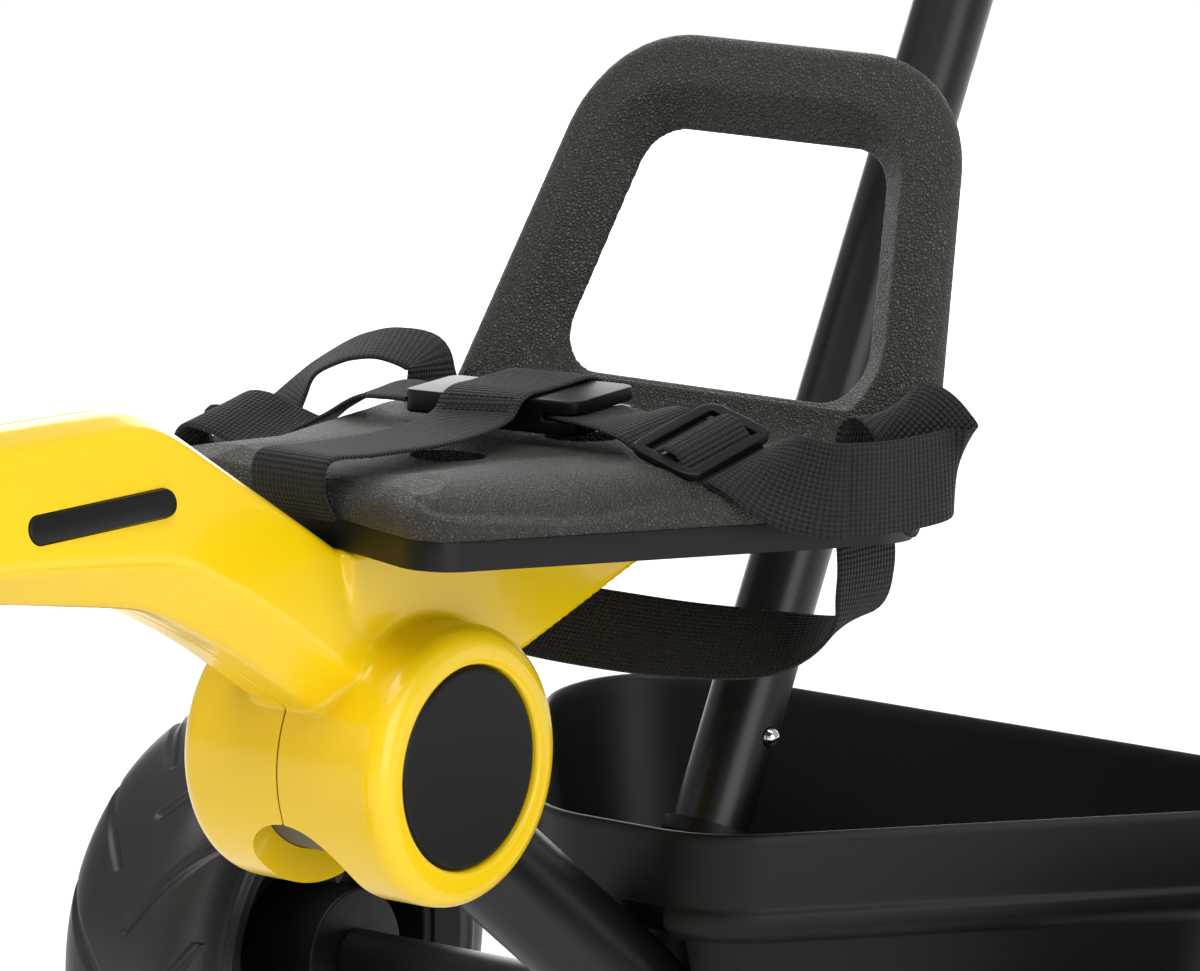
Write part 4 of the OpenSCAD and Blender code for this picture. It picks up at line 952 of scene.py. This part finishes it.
# rows: one tree repeats a small shape by a step
def rowTree():
    tree = bpy.data.node_groups.new("repeatRow", "GeometryNodeTree")
    sockets = [
        ("Count", "NodeSocketInt"), ("Step", "NodeSocketVector"),
        ("Shape", "NodeSocketObject"), ("Finish", "NodeSocketMaterial")]
    tree.interface.new_socket(name="Geometry", in_out="INPUT", socket_type="NodeSocketGeometry")
    for name, kind in sockets:
        tree.interface.new_socket(name=name, in_out="INPUT", socket_type=kind)
    tree.interface.new_socket(name="Geometry", in_out="OUTPUT", socket_type="NodeSocketGeometry")
    given, result, line, shape, place, real, paint = (tree.nodes.new(kind) for kind in (
        "NodeGroupInput", "NodeGroupOutput", "GeometryNodeMeshLine", "GeometryNodeObjectInfo",
        "GeometryNodeInstanceOnPoints", "GeometryNodeRealizeInstances", "GeometryNodeSetMaterial"))
    for source, leaving, target, entering in (
            (given, "Count", line, "Count"), (given, "Step", line, "Offset"),
            (given, "Shape", shape, "Object"), (line, 0, place, "Points"),
            (shape, "Geometry", place, "Instance"), (place, 0, real, 0),
            (real, 0, paint, "Geometry"), (given, "Finish", paint, "Material"), (paint, 0, result, 0)):
        tree.links.new(source.outputs[leaving], target.inputs[entering])
    return tree


rows = rowTree()


def repeated(name, part, count, step, slot, origin, axes):
    shape = placed("shape", turnedOut(rawMesh("shape", *part, (0, 0, 0))))
    piece = placed(name, bpy.data.meshes.new(name))
    modifier = piece.modifiers.new("rows", "NODES")
    modifier.node_group = rows
    values = {
        "Count": count, "Step": [s * mm for s in step], "Shape": shape, "Finish": finishes[slot]}
    for item in rows.interface.items_tree:
        if item.in_out == "INPUT" and item.name in values:
            modifier[item.identifier] = values[item.name]
    baked(piece)
    bpy.data.objects.remove(shape)
    axes = [unit(a) for a in axes]
    at = hub + Vector([float(o) * mm for o in origin])
    matrix = Matrix([[axes[c][r] for c in range(3)] + [at[r]] for r in range(3)] + [[0, 0, 0, 1]])
    piece.data.transform(matrix)
    return shade(piece, 40)


def rib(length, width, height, edge=0.6):
    outline = rounded([(x, y, edge) for x, y in oblong(length, width)], 3)
    levels = [(0, 0), (height - edge, 0), (height - edge * 0.3, edge * 0.3), (height, edge * 0.9)]
    return loft([[(x, y, z) for x, y in inset(outline, by)] for z, by in levels])


def ring(radius, width, height):
    turn = np.linspace(0, pi, 7)
    profile = [(width / 2 * cos(a), radius + height * sin(a)) for a in turn]
    profile += [(-width / 2, radius - 0.6), (width / 2, radius - 0.6)]
    return lathe(profile, (0, 0, 0), steps=72)


# tub: a tapered skin with a rounded rim, a bead under the band and a cover over the leg
tub = {
    "plan": [(40, 132, 46), (161, 289.6, 60), (165, 354, 40)], "middle": 249.66, "halfSize": (165, 111),
    "outside": [                                      # height and inset, from the floor up
        (-136.7, 24), (-89.2, 11.2), (-88.7, 10.6), (-88.3, 6.2), (-84.6, 1.9), (-83.6, 0.8), (-82.4, 0.2),
        (-81.0, 0), (-78.4, 0), (-77.4, 0.2), (-76.7, 0.7), (-76.2, 1.2), (-75.6, 1.5), (-74.6, 1.6),
        (-72, 1.6), (-52, 1.6), (-50.2, 1.7), (-49.3, 2.1), (-48.8, 2.7), (-48.7, 3.2)],
    "inside": [
        (-133.7, 28), (-131, 26.4), (-128, 25.4), (-88, 13.5), (-66, 8.4), (-54, 6.2), (-51, 5.7),
        (-49.7, 5.1), (-48.9, 4.2), (-48.6, 3.4), (-40, 3.4)],
    "wall": 3, "legRadius": 19, "tailEnd": (253.8, -155.2),
    "coverGap": 2.5, "coverFrom": 60, "coverFloor": -200,
    "socketHole": 16.1, "socketReach": 150,
    "screwAcross": 70, "screwHole": 3.1, "screwHeights": (-142, -102),
}
def tubRing(z, by):
    outline = evenly(rounded(mirrored(tub["plan"]), 16), 320)
    wide, long = tub["halfSize"]
    x = outline[:, 0] * (1 - by / wide)
    y = tub["middle"] + (outline[:, 1] - tub["middle"]) * (1 - by / long)
    return np.column_stack([x, y, np.full(len(x), z)])


def legCover(gap, half):
    reach = tub["legRadius"] + gap
    tail = atan2(layout["axleDrop"] + legBend[2], layout["axleBack"] - legBend[1])
    upFirst, upTail = reach / cos(legAngle), reach / cos(tail)
    farY, farZ = np.array(tub["tailEnd"]) + (4 + gap) * np.array([cos(tail), -sin(tail)])
    near, floor = tub["coverFrom"], tub["coverFloor"]
    side = [
        (near, -near * tan(legAngle) + upFirst),
        (legBend[1] + reach * tan((legAngle + tail) / 2) * 0.6, legBend[2] + upTail * 1.02),
        (farY, farZ + upTail), (farY, floor), (near, floor)]
    return loft([[(x, y, z) for y, z in side] for x in (-half, half)])


def makeTub():
    piece = newObject("bucketTub", loft([tubRing(*row) for row in tub["outside"]]))
    hollow = newObject("tubHollow", loft([tubRing(*row) for row in tub["inside"]]))
    gap, wall, leg = tub["coverGap"], tub["wall"], tub["legRadius"]
    cut(hollow, legCover(gap + wall, leg + gap + wall))
    carve(piece, hollow)
    cut(piece, legCover(gap, leg + gap))
    cut(piece, rod(legBend, legBend + tub["socketReach"] * poleDir, tub["socketHole"], 72))
    low, high = tub["screwHeights"]
    for side in (-1, 1):
        at = np.array([side * tub["screwAcross"], layout["axleBack"], 0])
        cut(piece, rod(at + (0, 0, low), at + (0, 0, high), tub["screwHole"], 32))
    settle(shade(piece, 62), "rear_frame", slotOf["bucket"], "bucket")


makeTub()
print("tub moulded")


# turned, bent and moulded pieces keep the drawing's form with their edges broken
edges = [                                             # node, piece, body and bevel; a star is each side
    ("seat_pan", "seatPan", "main", 0.8),
    ("hub_button_*", "hubCap*", "hub_button_*", 1.0),
    ("pole_socket", "poleSocket", "rear_frame", 0.7),
    ("handle_joint", "handleJoint", "rear_frame", 1.2),
    ("handle_grip_*", "handleGrip*", "rear_frame", 2.0),
    ("rim_*", "rim*", "wheel_*", 1.0),
    ("wheel_cap_*", "wheelCap*", "wheel_*", 1.0),
    ("fork", "forkBlades", "steering", 0.8),
    ("mudguard", "frontMudguard", "steering", 0.8),
    ("stem_clamp", "stemClamp", "steering", 0.8),
    ("handlebar", "steerBar", "steering", 0.8),
    ("bar_clamp", "barClamp", "steering", 1.0),
    ("grip_*", "barGrip*", "steering", 1.6),
    ("rim_front", "rimFront", "front_wheel", 1.0),
    ("crank_*", "crank*", "front_wheel", 1.0),
    ("pedal_*", "pedal*", "pedal_*", 2.4),
]
for nodePattern, piecePattern, riderPattern, width in edges:
    for side, name in sides if "*" in nodePattern else sides[:1]:
        nodeName, rider = (pattern.replace("*", name.lower()) for pattern in (nodePattern, riderPattern))
        softened = refined(nodeName, piecePattern.replace("*", name), width)
        settle(softened, rider, slotOf[nodeName], nodeName)
print("edges broken on", len(edges), "kinds of piece")


grips = {
    "handleRadius": 16, "handleFrom": 32, "handleCount": 14, "handleStep": 4.8,
    "barRadius": 15, "barFrom": -38, "barCount": 16, "barStep": 5.0, "ribWide": 3.2, "ribHeight": 0.8}
pedals = {
    "ribCount": 7, "ribStep": 7.2, "ribLong": 66, "ribWide": 3.2, "ribHigh": 1.3, "half": 10, "sunk": 0.2}
stitches = {
    "count": 11, "step": 2.3, "long": 1.5, "wide": 0.7, "high": 0.45, "edge": 0.2, "rows": (6.35, 6.6, 7.0)}
def centreOf(nodeName):
    low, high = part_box(nodeName)
    return (np.array((low + high) / 2) - np.array(hub)) / mm


def longAxis(nodeName):
    points = vertexRows(nodes[nodeName].data)
    axis = np.linalg.svd(points - points.mean(0), full_matrices=False)[2][0]
    return axis * (1 if axis[0] > 0 else -1)


def makeRows():
    handleAt = centreOf("handle_bar")
    handleRing = ring(grips["handleRadius"], grips["ribWide"], grips["ribHeight"])
    barRing = ring(grips["barRadius"], grips["ribWide"], grips["ribHeight"])
    tread = rib(pedals["ribLong"], pedals["ribWide"], pedals["ribHigh"])
    for side, name in sides:
        collar = repeated(
            "handleRibs" + name, handleRing, grips["handleCount"], (grips["handleStep"], 0, 0), "soft_grip",
            handleAt + (side * grips["handleFrom"], 0, 0), ((side, 0, 0), (0, 1, 0), (0, 0, side)))
        settle(collar, "rear_frame", "soft_grip")
        gripNode, pedalNode = "grip_" + name.lower(), "pedal_" + name.lower()
        along = longAxis(gripNode)
        across = unit(np.cross((0, 0, 1), along))
        collar = repeated(
            "barRibs" + name, barRing, grips["barCount"], (grips["barStep"], 0, 0), "soft_grip",
            centreOf(gripNode) + grips["barFrom"] * along, (along, across, np.cross(along, across)))
        settle(collar, "steering", "soft_grip")
        back = pedals["ribStep"] * (pedals["ribCount"] - 1) / 2
        for up, face in ((1, "Top"), (-1, "Under")):
            first = centreOf(pedalNode) + np.array([0, -back, up * (pedals["half"] - pedals["sunk"])])
            ribs = repeated(
                "pedalRibs" + name + face, tread, pedals["ribCount"], (0, pedals["ribStep"], 0),
                slotOf[pedalNode], first, ((up, 0, 0), (0, 1, 0), (0, 0, up)))
            settle(ribs, pedalNode, slotOf[pedalNode])


def makeStitches():
    path = eased(crotchRoute(), webbing["easing"])
    frames = bandFrames(path)
    stitch = rib(stitches["long"], stitches["wide"], stitches["high"], stitches["edge"])
    for number, row in enumerate(stitches["rows"]):
        at = int(row * webbing["easing"])
        wide, up = frames[at]
        up = up if up[2] > 0 else -up
        first = path[at, :3] + up * (webbing["thickness"] / 2 - 0.1)
        first = first - wide * stitches["step"] * (stitches["count"] - 1) / 2
        tack = repeated(
            "crotchStitch" + str(number + 1), stitch, stitches["count"], (stitches["step"], 0, 0),
            "webbing", first, (wide, np.cross(up, wide), up))
        settle(tack, "main", "webbing")


makeRows()
makeStitches()
print("rows repeated")


# studio: pale floor, soft lamps and the photograph's camera
studio = {
    "floorWide": 80.0, "worldGlow": 0.44, "shownGlow": 1.0,
    "azimuth": 38.9, "elevation": 10.7, "cameraAt": (1836.03, -2151.76, 625.04), "lens": 258.0,
    "sunFrom": (0.15, -0.2, 1.0), "sunGlow": 2.25, "sunSpread": 50.0,
    "lampAim": (0, 0, 0.3),
    "lamps": [                                        # place, size in metres and watts
        ("keyLamp", (-1.2, -2.6, 1.8), 1.6, 5.0),
        ("sideLamp", (2.8, -0.7, 1.0), 2.0, 34.0),
        ("backLamp", (-1.9, 2.4, 1.1), 2.4, 42.0)],
}


def aimed(data, at, along):
    made = bpy.data.objects.new(data.name, data)
    made.location = at
    made.rotation_euler = along.to_track_quat("-Z", "Y").to_euler()
    scene.collection.objects.link(made)
    return made


def makeStudio():
    wide = studio["floorWide"]
    mesh = bpy.data.meshes.new("studioFloor")
    mesh.from_pydata([(x, y, 0) for x, y in oblong(wide, wide)], [], [(0, 1, 2, 3)])
    mesh.materials.append(floorPaint())
    placed("studioFloor", mesh)
    world = bpy.data.worlds.new("studioWorld")
    world.use_nodes = True
    tree = world.node_tree
    back = tree.nodes["Background"]
    path = tree.nodes.new("ShaderNodeLightPath")
    blend = tree.nodes.new("ShaderNodeMix")
    blend.inputs[2].default_value = studio["worldGlow"]
    blend.inputs[3].default_value = studio["shownGlow"]
    tree.links.new(path.outputs["Is Camera Ray"], blend.inputs[0])
    tree.links.new(blend.outputs[0], back.inputs["Strength"])
    back.inputs["Color"].default_value = (1, 1, 1, 1)
    scene.world = world
    sun = bpy.data.lights.new("skySun", "SUN")
    sun.energy = studio["sunGlow"]
    sun.angle = radians(studio["sunSpread"])
    aimed(sun, (0, 0, 0), -Vector(studio["sunFrom"]))
    for name, at, size, watts in studio["lamps"]:
        lamp = bpy.data.lights.new(name, "AREA")
        lamp.shape = "SQUARE"
        lamp.size = size
        lamp.energy = watts
        aimed(lamp, at, Vector(studio["lampAim"]) - Vector(at))
    view = bpy.data.cameras.new("photoCamera")
    view.sensor_width = 36.0
    view.sensor_fit = "HORIZONTAL"
    view.lens = studio["lens"]
    view.clip_end = 100.0
    a, e = radians(studio["azimuth"]), radians(studio["elevation"])
    towards = Vector((sin(a) * cos(e), -cos(a) * cos(e), sin(e)))
    scene.camera = aimed(view, hub + Vector(studio["cameraAt"]) * mm, -towards)
    scene.view_settings.view_transform = "Standard"


makeStudio()
print("scene ready")
